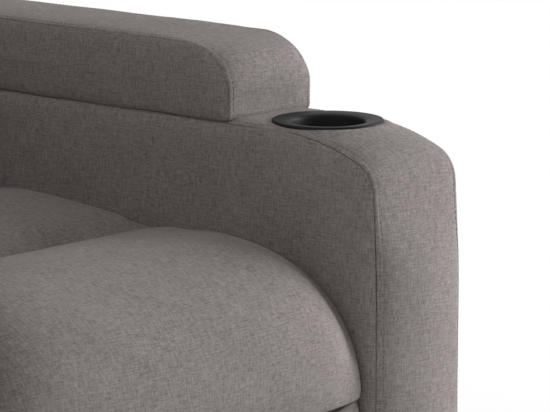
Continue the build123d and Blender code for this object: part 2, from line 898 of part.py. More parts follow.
with BuildPart() as back_cover:
    with BuildSketch(back_plane(-back_half)):
        with BuildLine():
            Polyline(
                (0, back_bottom),
                (back_depth, back_bottom),
                (back_depth, back_height),
                (0, back_height),
                close=True,
            )
        make_face()
        fillet(vertices().sort_by(Axis.Y)[-2:].sort_by(Axis.X)[-1], back_top_radius)
    extrude(amount=2 * back_half)
    fillet(faces().sort_by(Axis.X)[-1].edges().sort_by(Axis.Y)[-3:-1], back_edge_radius)
    fillet(faces().sort_by(Axis.X)[0].edges().sort_by(Axis.Y)[-3:-1], back_edge_radius)
    with BuildSketch(back_plane(-back_half + cover_wall)):
        with Locations((frame_back / 2, (back_bottom + frame_high) / 2)):
            Rectangle(frame_back + 2 * cloth_gap, frame_high - back_bottom + 2 * cut_over)
    extrude(amount=2 * (back_half - cover_wall), mode=Mode.SUBTRACT)
save(back_cover.part, "back_cover")

# Back cushions: lumbar, middle and headrest rolls, with motor pockets behind the lower two
lumbar_top = bolster_bottom + lumbar_height
middle_low = lumbar_top + bolster_gap
middle_top = middle_low + middle_height
head_low = middle_top + bolster_gap
rolls = (
    ("lumbar_cushion", bolster_bottom, lumbar_top, bolster_depth, True),
    ("back_cushion", middle_low, middle_top, bolster_depth - middle_recess, True),
    ("headrest_cushion", head_low, back_height - headrest_drop, bolster_depth - headrest_recess, False),
)
motor_heights = [(bolster_bottom + lumbar_top) / 2, (middle_low + middle_top) / 2]
motor_places = [
    Plane(
        back_plane(side * motor_spacing / 2).from_local_coords(Vector(0, height, 0)),
        z_dir=(0, -lean_cos, lean_sin),
    )
    for side in (-1, 1)
    for height in motor_heights
]
for roll_name, low, high, depth, has_motors in rolls:
    with BuildPart() as roll:
        for station in cushion_stations:
            draw = side_draw(station)
            tuck = draw * bolster_side_tuck
            with BuildSketch(back_plane(station * bolster_half)):
                make_face(bolster_outline(depth - draw * bolster_side_draw, low + tuck, high - tuck))
        loft()
        if has_motors:
            with Locations(*motor_places):
                Cylinder(
                    motor_radius + motor_pocket_gap,
                    2 * (motor_height + motor_pocket_gap),
                    mode=Mode.SUBTRACT,
                )
    save(roll.part, roll_name)

with BuildPart() as back_motors:
    with Locations(*motor_places):
        Cylinder(motor_radius, motor_height, align=(Align.CENTER, Align.CENTER, Align.MIN))
save(back_motors.part, "back_motors")

# Hinge brackets: plates on the stiles, each with a welded pin that turns in its side plate
with BuildPart() as back_hinges:
    stile_mid = (board_back + frame_back) / 2
    with BuildSketch(back_plane(stile_out)):
        Circle(hinge_plate_radius)
        with Locations((stile_mid, hinge_plate_bend)):
            Circle(stile_depth / 2 - hinge_plate_inset)
        make_hull()
        with Locations((stile_mid, (hinge_plate_bend + hinge_plate_length) / 2)):
            SlotCenterToCenter(
                hinge_plate_length - hinge_plate_bend,
                stile_depth - 2 * hinge_plate_inset,
                rotation=90,
            )
    extrude(amount=plate_thickness)
    hinge_axis = (hinge_y, hinge_height)
    rod(stile_out + plate_thickness, plate_in - swing_gap, hinge_axis, hinge_collar)
    rod(plate_in - swing_gap, plate_out + pin_head, hinge_axis, hinge_pin_radius)
    mirror_here()
save(back_hinges.part, "back_hinges")

# Rear skirt, control box and power inlet
skirt_y = rear_post + rail_size
box_y = skirt_y - control_box_depth
inlet_height = rail_top + control_box_height / 2
inlet_place = Plane((control_box_x, skirt_y + skirt_thickness, inlet_height), z_dir=(0, 1, 0))
with BuildPart() as rear_skirt:
    block(
        (-seat_opening / 2 + skirt_gap, seat_opening / 2 - skirt_gap),
        (skirt_y, skirt_y + skirt_thickness),
        (rail_bottom, skirt_top),
    )
    with Locations(inlet_place):
        Cylinder(inlet_radius + running_gap, 4 * skirt_thickness, mode=Mode.SUBTRACT)
save(rear_skirt.part, "rear_skirt")

with BuildPart() as control_box:
    with Locations((control_box_x, box_y, rail_top)):
        Box(
            control_box_width,
            control_box_depth,
            control_box_height,
            align=(Align.CENTER, Align.MIN, Align.MIN),
        )
    fillet(edges().filter_by(Axis.Z), control_box_edge)
    with Locations(inlet_place):
        Cylinder(
            inlet_radius + running_gap,
            2 * (inlet_bore_depth + skirt_thickness),
            mode=Mode.SUBTRACT,
        )
save(control_box.part, "control_box")

inlet_inner = inlet_place.offset(-inlet_bore_depth - skirt_thickness)
with BuildPart() as power_inlet:
    with Locations(inlet_inner):
        Cylinder(
            inlet_radius,
            inlet_bore_depth + skirt_thickness,
            align=(Align.CENTER, Align.CENTER, Align.MIN),
        )
    with Locations(inlet_place):
        Cylinder(inlet_flange_radius, inlet_flange, align=(Align.CENTER, Align.CENTER, Align.MIN))
    fillet(edges().group_by(Axis.Y)[-1], inlet_edge)
    with Locations(inlet_place.offset(inlet_flange)):
        Hole(inlet_bore_radius, depth=inlet_bore_depth)
save(power_inlet.part, "power_inlet")

# Side pocket on the sitter's left, open at the top
pocket_face = arm_face + cloth_gap
pocket_room = controller_thickness + 4 * cloth_gap
pocket_depth = pocket_room + 2 * pocket_wall
pocket_front = front + pocket_setback
with BuildPart() as side_pocket:
    block(
        (pocket_face, pocket_face + pocket_depth),
        (pocket_front, pocket_front + pocket_width),
        (pocket_bottom, pocket_bottom + pocket_height),
    )
    fillet(edges().filter_by(Axis.Z).group_by(Axis.X)[-1], pocket_radius)
    block(
        (pocket_face + pocket_wall, pocket_face + pocket_wall + pocket_room),
        (pocket_front + 3 * pocket_wall, pocket_front + pocket_width - 3 * pocket_wall),
        (pocket_bottom + pocket_wall, pocket_bottom + pocket_height + cut_over),
        Mode.SUBTRACT,
    )
save(side_pocket.part, "side_pocket")

# Hand controller in the pocket, with round push buttons on its outer face
controller_in = pocket_face + pocket_wall + 2 * cloth_gap
controller_face = controller_in + controller_thickness
controller_y = pocket_front + pocket_width / 2
controller_bottom = pocket_bottom + pocket_wall + cloth_gap
controller_top = controller_bottom + controller_height
button_places = [
    (controller_y + side * button_pitch / 2, controller_top - button_drop - row * button_row_pitch)
    for row in (0, 1)
    for side in (-1, 1)
]
button_back = controller_face + button_proud - button_length
with BuildPart() as hand_controller:
    block(
        (controller_in, controller_face),
        (controller_y - controller_width / 2, controller_y + controller_width / 2),
        (controller_bottom, controller_top),
    )
    fillet(edges().filter_by(Axis.X), 3 * controller_radius)
    fillet(faces().sort_by(Axis.X)[-1].edges(), controller_radius)
    for place in button_places:
        rod(
            button_back - 2 * button_travel,
            controller_face + cut_over,
            place,
            button_radius + 2 * running_gap,
            Mode.SUBTRACT,
        )
save(hand_controller.part, "hand_controller")

button_names = ("power_button", "zone_button", "speed_button", "heat_button")
for button_name, place in zip(button_names, button_places):
    with BuildPart() as button:
        rod(button_back, button_back + button_length, place, button_radius)
        fillet(edges().group_by(Axis.X)[-1], button_edge)
    save(button.part, button_name)
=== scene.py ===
"""Looks of a massage recliner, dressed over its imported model.

Lengths are in metres in the model's own frame: X runs to the sitter's left, Y to the back and Z up.
"""

from __future__ import annotations

import json
import logging
from collections.abc import Callable, Iterator, Sequence
from contextlib import contextmanager
from dataclasses import dataclass
from enum import Enum
from functools import partial
from math import cos, pi, radians, sin

import bpy
import numpy as np
from mathutils import Matrix, Vector, noise

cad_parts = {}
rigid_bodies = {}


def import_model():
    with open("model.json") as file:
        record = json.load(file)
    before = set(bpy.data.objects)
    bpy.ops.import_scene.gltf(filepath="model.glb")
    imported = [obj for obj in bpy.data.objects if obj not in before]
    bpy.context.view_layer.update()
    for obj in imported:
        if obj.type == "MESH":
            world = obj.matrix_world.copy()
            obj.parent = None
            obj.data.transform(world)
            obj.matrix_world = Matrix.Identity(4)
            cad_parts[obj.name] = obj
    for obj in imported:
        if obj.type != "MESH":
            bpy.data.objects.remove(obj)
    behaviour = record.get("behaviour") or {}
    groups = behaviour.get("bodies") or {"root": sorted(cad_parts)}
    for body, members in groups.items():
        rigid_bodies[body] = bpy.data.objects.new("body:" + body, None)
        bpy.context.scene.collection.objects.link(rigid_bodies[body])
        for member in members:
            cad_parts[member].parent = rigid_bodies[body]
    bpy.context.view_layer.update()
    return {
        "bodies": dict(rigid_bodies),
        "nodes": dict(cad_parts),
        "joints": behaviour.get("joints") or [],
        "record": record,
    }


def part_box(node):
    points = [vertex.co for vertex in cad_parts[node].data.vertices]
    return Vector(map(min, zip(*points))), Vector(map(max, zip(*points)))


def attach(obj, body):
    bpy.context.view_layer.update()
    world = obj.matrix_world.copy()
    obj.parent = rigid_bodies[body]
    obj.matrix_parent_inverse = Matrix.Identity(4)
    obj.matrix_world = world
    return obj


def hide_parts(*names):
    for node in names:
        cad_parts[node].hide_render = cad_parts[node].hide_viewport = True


log = logging.getLogger("recliner")

Points = np.ndarray
Piece = bpy.types.Object
Socket = bpy.types.NodeSocket
Tone = tuple[float, float, float]

# Lines of the model that the covers are drawn from: the seat's front, the back's hinge and lean, the two
# seams of an arm's band, and the cup holder
SEAT_FRONT = -0.443867
HINGE_Y = 0.196133
HINGE_Z = 0.330
BACK_LEAN = radians(15.0)
SEAM_IN = 0.258
SEAM_OUT = 0.382
ARM_MID = 0.320
CUP_Y = -0.310367
CUP_SEAT = 0.5887

WEAVE_MAP = "weave"
STITCH_PITCH = 0.0055
STITCH_LENGTH = 0.0040
THREAD_RADIUS = 0.0004

# How far the middle of a quarter circle lies in from the corner that it rounds, as a share of its radius
CORNER_EASE = 1 - 0.5**0.5


class Side(Enum):
    """A side of the chair, as the sitter sees it."""

    LEFT = 1
    RIGHT = -1

    @property
    def tail(self) -> str:
        """Ending of the side's node names."""
        return self.name.lower()


class Body(str, Enum):
    """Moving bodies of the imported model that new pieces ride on."""

    BASE = "base"
    FOOTREST = "footrest"
    BACKREST = "backrest"


class Slot(str, Enum):
    """Material slots of the record."""

    FABRIC = "cover_fabric"
    WEBBING = "webbing"
    PLYWOOD = "plywood"
    BLACK_STEEL = "black_steel"
    ZINC = "zinc_steel"
    PLASTIC = "black_plastic"
    BUTTON = "button_plastic"


class SocketKind(Enum):
    """Kinds of socket on a node group."""

    COLOR = "NodeSocketColor"
    VALUE = "NodeSocketFloat"
    VECTOR = "NodeSocketVector"


# Work at the bench: selecting, joining and finishing meshes


def pick(*pieces: Piece) -> None:
    """Select these pieces alone, with the first one active.

    Args:
        *pieces: Pieces to select.
    """
    bpy.ops.object.select_all(action="DESELECT")
    for piece in pieces:
        piece.select_set(True)
    bpy.context.view_layer.objects.active = pieces[0]


@contextmanager
def editing(piece: Piece) -> Iterator[None]:
    """Open a piece in edit mode with its whole mesh selected, and close it again at the end.

    Args:
        piece: Piece with a mesh.
    """
    pick(piece)
    bpy.ops.object.mode_set(mode="EDIT")
    bpy.ops.mesh.select_all(action="SELECT")
    yield
    bpy.ops.object.mode_set(mode="OBJECT")


def take_new(name: str) -> Piece:
    """Name the object that an operator has just added, and its data, and return it."""
    piece = bpy.context.active_object
    piece.name = name
    piece.data.name = name
    return piece


def places(piece: Piece) -> Points:
    """Places of a piece's points, as rows of three.

    Args:
        piece: Piece with a mesh.

    Returns:
        Its vertex coordinates.
    """
    flat = np.empty(len(piece.data.vertices) * 3, dtype=np.float32)
    piece.data.vertices.foreach_get("co", flat)
    return flat.reshape(-1, 3).astype(float)


def place_points(piece: Piece, points: Points) -> None:
    """Move a piece's points to new places, given as rows of three."""
    piece.data.vertices.foreach_set("co", np.asarray(points, dtype=np.float32).reshape(-1))
    piece.data.update()


def lay_weave(piece: Piece, weave: Points) -> None:
    """Write cloth coordinates, one pair for each point, to a piece's weave map.

    Args:
        piece: Piece with a mesh.
        weave: Cloth coordinates of each vertex, in metres.
    """
    mesh = piece.data
    layer = mesh.uv_layers.get(WEAVE_MAP) or mesh.uv_layers.new(name=WEAVE_MAP)
    corners = np.empty(len(mesh.loops), dtype=np.int32)
    mesh.loops.foreach_get("vertex_index", corners)
    layer.data.foreach_set("uv", weave[corners].astype(np.float32).reshape(-1))


def lay_grid(name: str, points: Points, weave: Points) -> Piece:
    """Add a grid and lay its points over a surface.

    Args:
        name: Name of the new piece.
        points: Places of the grid's points, as rows by columns by three.
        weave: Cloth coordinates of the same points, as rows by columns by two.

    Returns:
        The new piece.
    """
    rows, columns = points.shape[:2]
    bpy.ops.object.select_all(action="DESELECT")
    bpy.ops.mesh.primitive_grid_add(x_subdivisions=columns - 1, y_subdivisions=rows - 1, size=1.0)
    piece = take_new(name)
    piece.data.uv_layers[0].name = WEAVE_MAP
    place_points(piece, points)
    lay_weave(piece, weave.reshape(-1, 2))
    return piece


def weld(piece: Piece, distance: float = 2e-5) -> None:
    """Merge a piece's doubled points and turn its faces outward.

    Args:
        piece: Piece with a mesh.
        distance: Points closer than this are merged.
    """
    with editing(piece):
        bpy.ops.mesh.remove_doubles(threshold=distance)
        bpy.ops.mesh.normals_make_consistent(inside=False)


def join(pieces: Sequence[Piece]) -> Piece:
    """Join pieces into the first one and weld them.

    Args:
        pieces: Pieces to join.

    Returns:
        The joined piece.
    """
    pick(*pieces)
    bpy.ops.object.join()
    weld(pieces[0])
    return pieces[0]


def mirror_piece(piece: Piece, name: str) -> Piece:
    """Copy a piece to the other side of the chair, with its own mesh.

    Args:
        piece: Piece on the sitter's left.
        name: Name of the copy.

    Returns:
        The copy.
    """
    pick(piece)
    bpy.ops.object.duplicate()
    copy = take_new(name)
    with editing(copy):
        bpy.ops.transform.mirror(
            constraint_axis=(True, False, False), orient_type="GLOBAL", center_override=(0.0, 0.0, 0.0)
        )
        bpy.ops.mesh.normals_make_consistent(inside=False)
    return copy


def finish_with(piece: Piece, kind: str, **settings: object) -> None:
    """Add a modifier to a piece and apply it.

    Args:
        piece: Piece with a mesh.
        kind: Blender's name for the modifier.
        **settings: Values of the modifier's settings.
    """
    pick(piece)
    bpy.ops.object.modifier_add(type=kind)
    modifier = piece.modifiers[-1]
    for key, value in settings.items():
        setattr(modifier, key, value)
    bpy.ops.object.modifier_apply(modifier=modifier.name)


def smooth(piece: Piece, angle: float | None = None) -> None:
    """Shade a piece smooth, with sharp edges above an angle where one is given.

    Args:
        piece: Piece with a mesh.
        angle: Edges sharper than this, in degrees, stay crisp.
    """
    pick(piece)
    if angle is None:
        bpy.ops.object.shade_smooth()
    else:
        bpy.ops.object.shade_smooth_by_angle(angle=radians(angle))


def soft_heights(points: Points, size: float, seed: float) -> Points:
    """Soft random heights from about -1 to 1 over places; another seed gives another pattern."""
    shift = Vector((seed, 1.7 * seed, -0.6 * seed))
    return np.array([noise.noise(Vector(point) / size + shift) for point in points])


@dataclass(frozen=True)
class Dents:
    """Soft dents and swells of a cover: their height, their usual width and a seed for their pattern."""

    depth: float
    size: float
    seed: float

    def press(self, piece: Piece) -> None:
        """Press the dents into a piece, along its normals.

        Args:
            piece: Piece with a mesh.
        """
        points = places(piece)
        normals = np.array([vertex.normal[:] for vertex in piece.data.vertices])
        broad = soft_heights(points, self.size, self.seed)
        fine = soft_heights(points, self.size / 3, self.seed + 5.0)
        place_points(piece, points + normals * (self.depth * (broad + 0.4 * fine))[:, None])


def spread(piece: Piece, values: Points, passes: int) -> Points:
    """Even out values over a piece by averaging each point with its neighbours.

    Args:
        piece: Piece with a mesh.
        values: One row of values for each point.
        passes: Number of times to average.

    Returns:
        The evened values.
    """
    flat = np.empty(len(piece.data.edges) * 2, dtype=np.int32)
    piece.data.edges.foreach_get("vertices", flat)
    first, second = flat.reshape(-1, 2).T
    ends = np.concatenate([first, second])
    others = np.concatenate([second, first])
    count = np.bincount(ends, minlength=len(values))[:, None]
    for _ in range(passes):
        sums = [np.bincount(ends, values[others, axis], len(values)) for axis in range(values.shape[1])]
        values = 0.5 * values + 0.5 * np.stack(sums, axis=1) / count
    return values


@dataclass(frozen=True)
class Filling:
    """How a cushion's cover is blown up as cloth.

    The cover is drawn in by room and swells by as much on average, no point by more than cap. Slack is
    spare cloth, as a share of its length. Broad is the share of the broad change of form that is kept, and
    folds and puckers are kept in full.
    """

    room: float
    cap: float
    slack: float = 0.0
    broad: float = 1.0
    frames: int = 20
    fold_passes: int = 5
    broad_passes: int = 120

    def set_up(self, piece: Piece, sewn: Points) -> bpy.types.ClothModifier:
        """Add the cloth to a piece, pinned where it is sewn.

        Args:
            piece: Closed piece.
            sewn: How firmly each point is held, from 0 to 1.

        Returns:
            The cloth modifier.
        """
        group = piece.vertex_groups.new(name="sewn")
        for index in np.nonzero(sewn > 0.02)[0]:
            group.add([int(index)], float(sewn[index]), "REPLACE")
        pick(piece)
        bpy.ops.object.modifier_add(type="CLOTH")
        cloth = piece.modifiers[-1]
        settings = cloth.settings
        settings.quality = 5
        settings.mass = 0.3
        settings.tension_stiffness = 15.0
        settings.compression_stiffness = 15.0
        settings.shear_stiffness = 5.0
        settings.bending_stiffness = 6.0
        settings.use_pressure = True
        settings.uniform_pressure_force = 4.0
        settings.shrink_min = -self.slack
        settings.vertex_group_mass = group.name
        settings.effector_weights.gravity = 0.0
        return cloth

    def swell(self, piece: Piece, sewn: Points) -> None:
        """Draw a closed cover in and blow it up again, held along its sewn lines.

        Args:
            piece: Closed piece at its full shape.
            sewn: How firmly each point is held, from 0 to 1.
        """
        normals = np.array([vertex.normal[:] for vertex in piece.data.vertices])
        free = 1.0 - sewn
        full = places(piece)
        start = full - normals * (self.room * free)[:, None]
        place_points(piece, start)
        cloth = self.set_up(piece, sewn)
        scene = bpy.context.scene
        for frame in range(1, self.frames + 1):
            scene.frame_set(frame)
        result = piece.evaluated_get(bpy.context.evaluated_depsgraph_get())
        moved = np.array([vertex.co[:] for vertex in result.data.vertices]) - start
        way = np.linalg.norm(moved, axis=1)
        usual = float(way[free > 0.9].mean())
        log.info("%s swelled %.1f mm on average", piece.name, 1000 * usual)
        limit = np.minimum(self.room / max(usual, 1e-6), self.cap / np.maximum(way, 1e-9))
        piece.modifiers.remove(cloth)
        piece.vertex_groups.clear()
        scene.frame_set(1)
        change = spread(piece, start + moved * limit[:, None] - full, self.fold_passes)
        undone = (1 - self.broad) * spread(piece, change, self.broad_passes)
        place_points(piece, full + change - undone)


# Lines in a side view, as rows of two values


def sweep(start: Sequence[float], heading: float, radius: float, turn: float, count: int) -> Points:
    """Points on an arc that bends to the right of its heading.

    Args:
        start: Where the arc starts.
        heading: Direction of travel at the start, in degrees up from the first axis.
        radius: Radius of the arc.
        turn: How far it turns, in degrees.
        count: Number of steps.

    Returns:
        The arc's points, with both ends.
    """
    first = radians(heading)
    centre = np.asarray(start) + radius * np.array([sin(first), -cos(first)])
    angles = first - np.linspace(0.0, radians(turn), count + 1)
    return centre + radius * np.stack([-np.sin(angles), np.cos(angles)], axis=1)


def arc_through(
    start: Sequence[float], middle: Sequence[float], end: Sequence[float], count: int
) -> Points:
    """Points on the arc through three points.

    Args:
        start: First point.
        middle: A point between the ends.
        end: Last point.
        count: Number of steps.

    Returns:
        The arc's points, with both ends.
    """
    (ax, ay), (bx, by), (cx, cy) = start, middle, end
    twice = 2 * (ax * (by - cy) + bx * (cy - ay) + cx * (ay - by))
    a2, b2, c2 = ax * ax + ay * ay, bx * bx + by * by, cx * cx + cy * cy
    centre = np.array(
        [
            (a2 * (by - cy) + b2 * (cy - ay) + c2 * (ay - by)) / twice,
            (a2 * (cx - bx) + b2 * (ax - cx) + c2 * (bx - ax)) / twice,
        ]
    )
    radius = np.linalg.norm(np.asarray(start) - centre)
    angles = [np.arctan2(*(np.asarray(spot) - centre)[::-1]) for spot in (start, middle, end)]
    to_middle = (angles[1] - angles[0] + pi) % (2 * pi) - pi
    to_end = (angles[2] - angles[1] + pi) % (2 * pi) - pi
    turn = np.linspace(angles[0], angles[0] + to_middle + to_end, count + 1)
    return centre + radius * np.stack([np.cos(turn), np.sin(turn)], axis=1)


def line(start: Sequence[float], end: Sequence[float], count: int) -> Points:
    """Points that divide a straight line into equal steps, with both its ends."""
    return np.linspace(np.asarray(start, dtype=float), np.asarray(end, dtype=float), count + 1)


def chain(*runs: Points) -> Points:
    """Runs of points that meet end to end, as one run with each meeting point once."""
    return np.concatenate([runs[0]] + [run[1:] for run in runs[1:]])


def lengths(run: Points) -> Points:
    """Running length at each point of a run, from its first point."""
    steps = np.linalg.norm(np.diff(run, axis=0), axis=1)
    return np.concatenate([[0.0], np.cumsum(steps)])


def fair_curve(knots: Points, first: Sequence[float], last: Sequence[float], count: int) -> Points:
    """Smooth curve through a few points, with set directions at its ends.

    Args:
        knots: Points that the curve passes through.
        first: Direction at the first point.
        last: Direction at the last point.
        count: Number of steps.

    Returns:
        Points on the curve, with both ends.
    """
    reach = lengths(knots)
    gaps = np.diff(reach)
    size = len(knots)
    system = np.zeros((size, size))
    right = np.zeros((size, 2))
    system[0, 0] = system[-1, -1] = 1.0
    right[0] = np.asarray(first) / np.linalg.norm(first)
    right[-1] = np.asarray(last) / np.linalg.norm(last)
    for i in range(1, size - 1):
        system[i, i - 1] = gaps[i]
        system[i, i] = 2 * (gaps[i - 1] + gaps[i])
        system[i, i + 1] = gaps[i - 1]
        before = (knots[i] - knots[i - 1]) / gaps[i - 1]
        after = (knots[i + 1] - knots[i]) / gaps[i]
        right[i] = 3 * (gaps[i] * before + gaps[i - 1] * after)
    slopes = np.linalg.solve(system, right)
    along = np.linspace(0.0, reach[-1], count + 1)
    span = np.clip(np.searchsorted(reach, along, side="right") - 1, 0, size - 2)
    share = ((along - reach[span]) / gaps[span])[:, None]
    width = gaps[span][:, None]
    return (
        knots[span] * (1 + 2 * share) * (1 - share) ** 2
        + slopes[span] * width * share * (1 - share) ** 2
        + knots[span + 1] * (3 - 2 * share) * share**2
        + slopes[span + 1] * width * (share - 1) * share**2
    )


def fill_between(front: Points, top: Points, rear: Points, bottom: Points) -> Points:
    """Fill the area inside four edges with an even net of points.

    Args:
        front: Edge from the lower front corner up.
        top: Edge from the upper front corner back.
        rear: Edge from the upper rear corner down.
        bottom: Edge from the lower rear corner forward.

    Returns:
        Points, as rows up by columns back by two.
    """
    back = rear[::-1]
    low = bottom[::-1]
    across = np.linspace(0.0, 1.0, len(top))[None, :, None]
    rise = np.linspace(0.0, 1.0, len(front))[:, None, None]
    sides = (1 - across) * front[:, None] + across * back[:, None]
    levels = (1 - rise) * low[None] + rise * top[None]
    corners = (
        (1 - across) * (1 - rise) * front[0]
        + across * (1 - rise) * back[0]
        + (1 - across) * rise * front[-1]
        + across * rise * back[-1]
    )
    return sides + levels - corners


def ramp(values: Points, low: float, high: float) -> Points:
    """Soft step from 0 at a low value to 1 at a high one."""
    share = np.clip((values - low) / (high - low), 0.0, 1.0)
    return share * share * (3 - 2 * share)


def near(points: Points, spot: Sequence[float], reach: float) -> Points:
    """Share for each point of a line: 1 at the spot, and about a third at its reach."""
    return np.exp(-((np.linalg.norm(points - np.asarray(spot), axis=1) / reach) ** 2))


@dataclass(frozen=True)
class Swelling:
    """A soft rise or dip of a band's crown, placed behind an outline's front and below its top."""

    height: float
    back: float
    below: float
    reach: float

    def over(self, base: Points, front: float, top: float) -> Points:
        """Height of the swelling at each point of a line, given the outline's front and top."""
        return self.height * near(base, (front + self.back, top - self.below), self.reach)


# Finishes


@dataclass(frozen=True)
class NodeDesk:
    """A material's or group's node tree, with short ways to add and link nodes."""

    tree: bpy.types.NodeTree

    def add(self, kind: str, **settings: object) -> bpy.types.Node:
        """Add a node and set its properties.

        Args:
            kind: Blender's name for the node.
            **settings: Values of the node's properties.

        Returns:
            The new node.
        """
        node = self.tree.nodes.new(kind)
        for key, value in settings.items():
            setattr(node, key, value)
        return node

    def link(self, start: Socket, end: Socket) -> None:
        """Link an output to an input."""
        self.tree.links.new(start, end)

    def math(self, operation: str, *values: object) -> Socket:
        """Add a math node.

        Args:
            operation: Blender's name for the operation.
            *values: Numbers or outputs for its inputs, in order.

        Returns:
            The node's output.
        """
        node = self.add("ShaderNodeMath", operation=operation)
        for socket, value in zip(node.inputs, values):
            if isinstance(value, (int, float)):
                socket.default_value = value
            else:
                self.link(value, socket)
        return node.outputs[0]

    def noise(self, vector: Socket, scale: float, detail: float) -> Socket:
        """Add a noise texture and return its value.

        Args:
            vector: Coordinates to read.
            scale: Scale of the noise.
            detail: Octaves of finer noise.

        Returns:
            The noise's value, from about 0 to 1.
        """
        node = self.add("ShaderNodeTexNoise")
        node.inputs["Scale"].default_value = scale
        node.inputs["Detail"].default_value = detail
        self.link(vector, node.inputs["Vector"])
        return node.outputs["Fac"]

    def mix(self, share: Socket, dark: Socket, light: Socket) -> Socket:
        """Mix two colours.

        Args:
            share: Share of the light one.
            dark: Colour at a share of 0.
            light: Colour at a share of 1.

        Returns:
            The mixed colour.
        """
        node = self.add("ShaderNodeMix", data_type="RGBA")
        self.link(share, node.inputs["Factor"])
        self.link(dark, node.inputs["A"])
        self.link(light, node.inputs["B"])
        return next(socket for socket in node.outputs if socket.type == "RGBA")

    def stretch(self, vector: Socket, scale: Sequence[float]) -> Socket:
        """Scale coordinates by a different amount on each axis.

        Args:
            vector: Coordinates to scale.
            scale: Factor for each axis.

        Returns:
            The scaled coordinates.
        """
        node = self.add("ShaderNodeMapping")
        node.inputs["Scale"].default_value = scale
        self.link(vector, node.inputs["Vector"])
        return node.outputs["Vector"]


SURFACE = (
    ("Color", SocketKind.COLOR),
    ("Roughness", SocketKind.VALUE),
    ("Height", SocketKind.VALUE),
)


def new_group(
    name: str, inputs: Sequence[tuple], outputs: Sequence[tuple]
) -> tuple[NodeDesk, bpy.types.NodeOutputs, bpy.types.NodeInputs]:
    """Start a shader node group with named sockets.

    Args:
        name: Name of the group.
        inputs: Name, socket type and default of each input.
        outputs: Name and socket type of each output.

    Returns:
        The group's desk, its inputs as outputs to read, and its outputs as inputs to feed.
    """
    tree = bpy.data.node_groups.new(name, "ShaderNodeTree")
    for label, kind, default in inputs:
        socket = tree.interface.new_socket(name=label, in_out="INPUT", socket_type=kind.value)
        if default is not None:
            socket.default_value = default
    for label, kind in outputs:
        tree.interface.new_socket(name=label, in_out="OUTPUT", socket_type=kind.value)
    desk = NodeDesk(tree)
    source = desk.add("NodeGroupInput").outputs
    sink = desk.add("NodeGroupOutput").inputs
    return desk, source, sink


def linen_group() -> bpy.types.NodeTree:
    """Linen weave: uneven threads both ways, with slubs, as colour, roughness and height.

    Returns:
        The node group.
    """
    fine_streak, coarse_streak = (1100.0, 160.0), (600.0, 56.0)
    mottle_scale, mottle_detail = 17.0, 3.0
    fine_share, coarse_share, mottle_share, basket_share = 1.15, 0.85, 0.35, 0.06
    usual_tone = 1.675
    usual_roughness, tone_roughness = 0.93, -0.12
    streak_height, basket_height = 0.5, 0.35
    desk, source, sink = new_group(
        "linen weave",
        (
            ("Cloth", SocketKind.VECTOR, None),
            ("Dark", SocketKind.COLOR, (0.1, 0.1, 0.1, 1.0)),
            ("Light", SocketKind.COLOR, (0.3, 0.3, 0.3, 1.0)),
            ("Threads", SocketKind.VALUE, 1000.0),
        ),
        SURFACE,
    )
    cloth = source["Cloth"]
    streaks = []
    for across_thread, along_thread in (fine_streak, coarse_streak):
        warp = desk.noise(desk.stretch(cloth, (across_thread, along_thread, 1.0)), 1.0, 1.0)
        weft = desk.noise(desk.stretch(cloth, (along_thread, across_thread, 1.0)), 1.0, 1.0)
        streaks.append(desk.math("ADD", warp, weft))
    fine, coarse = streaks
    mottle = desk.noise(cloth, mottle_scale, mottle_detail)
    axes = desk.add("ShaderNodeSeparateXYZ")
    desk.link(cloth, axes.inputs[0])
    across = desk.math("SINE", desk.math("MULTIPLY", axes.outputs["X"], source["Threads"]))
    along = desk.math("SINE", desk.math("MULTIPLY", axes.outputs["Y"], source["Threads"]))
    basket = desk.math("MULTIPLY", across, along)
    tone = desk.math("MULTIPLY_ADD", fine, fine_share, desk.math("MULTIPLY", coarse, coarse_share))
    tone = desk.math("MULTIPLY_ADD", mottle, mottle_share, tone)
    tone = desk.math("MULTIPLY_ADD", basket, basket_share, desk.math("SUBTRACT", tone, usual_tone))
    desk.link(desk.mix(tone, source["Dark"], source["Light"]), sink["Color"])
    desk.link(desk.math("MULTIPLY_ADD", tone, tone_roughness, usual_roughness), sink["Roughness"])
    height = desk.math("MULTIPLY_ADD", basket, basket_height, desk.math("MULTIPLY", fine, streak_height))
    desk.link(desk.math("MULTIPLY_ADD", coarse, streak_height, height), sink["Height"])
    return desk.tree


def grain_group() -> bpy.types.NodeTree:
    """Fine moulded or sprayed texture on object coordinates, with a faint change of tone.

    Returns:
        The node group.
    """
    fine_detail = 3.0
    broad_scale, broad_detail = 14.0, 4.0
    fine_share, broad_share = 0.5, 0.5
    usual_noise = 0.5
    desk, source, sink = new_group(
        "fine grain",
        (
            ("Place", SocketKind.VECTOR, None),
            ("Dark", SocketKind.COLOR, (0.01, 0.01, 0.01, 1.0)),
            ("Light", SocketKind.COLOR, (0.03, 0.03, 0.03, 1.0)),
            ("Scale", SocketKind.VALUE, 900.0),
            ("Usual Roughness", SocketKind.VALUE, 0.4),
            ("Spread", SocketKind.VALUE, 0.15),
        ),
        SURFACE,
    )
    fine = desk.add("ShaderNodeTexNoise")
    fine.inputs["Detail"].default_value = fine_detail
    desk.link(source["Place"], fine.inputs["Vector"])
    desk.link(source["Scale"], fine.inputs["Scale"])
    broad = desk.noise(source["Place"], broad_scale, broad_detail)
    tone = desk.math("MULTIPLY", broad, broad_share)
    tone = desk.math("MULTIPLY_ADD", fine.outputs["Fac"], fine_share, tone)
    desk.link(desk.mix(tone, source["Dark"], source["Light"]), sink["Color"])
    change = desk.math("SUBTRACT", broad, usual_noise)
    rough = desk.math("MULTIPLY_ADD", change, source["Spread"], source["Usual Roughness"])
    desk.link(rough, sink["Roughness"])
    desk.link(fine.outputs["Fac"], sink["Height"])
    return desk.tree


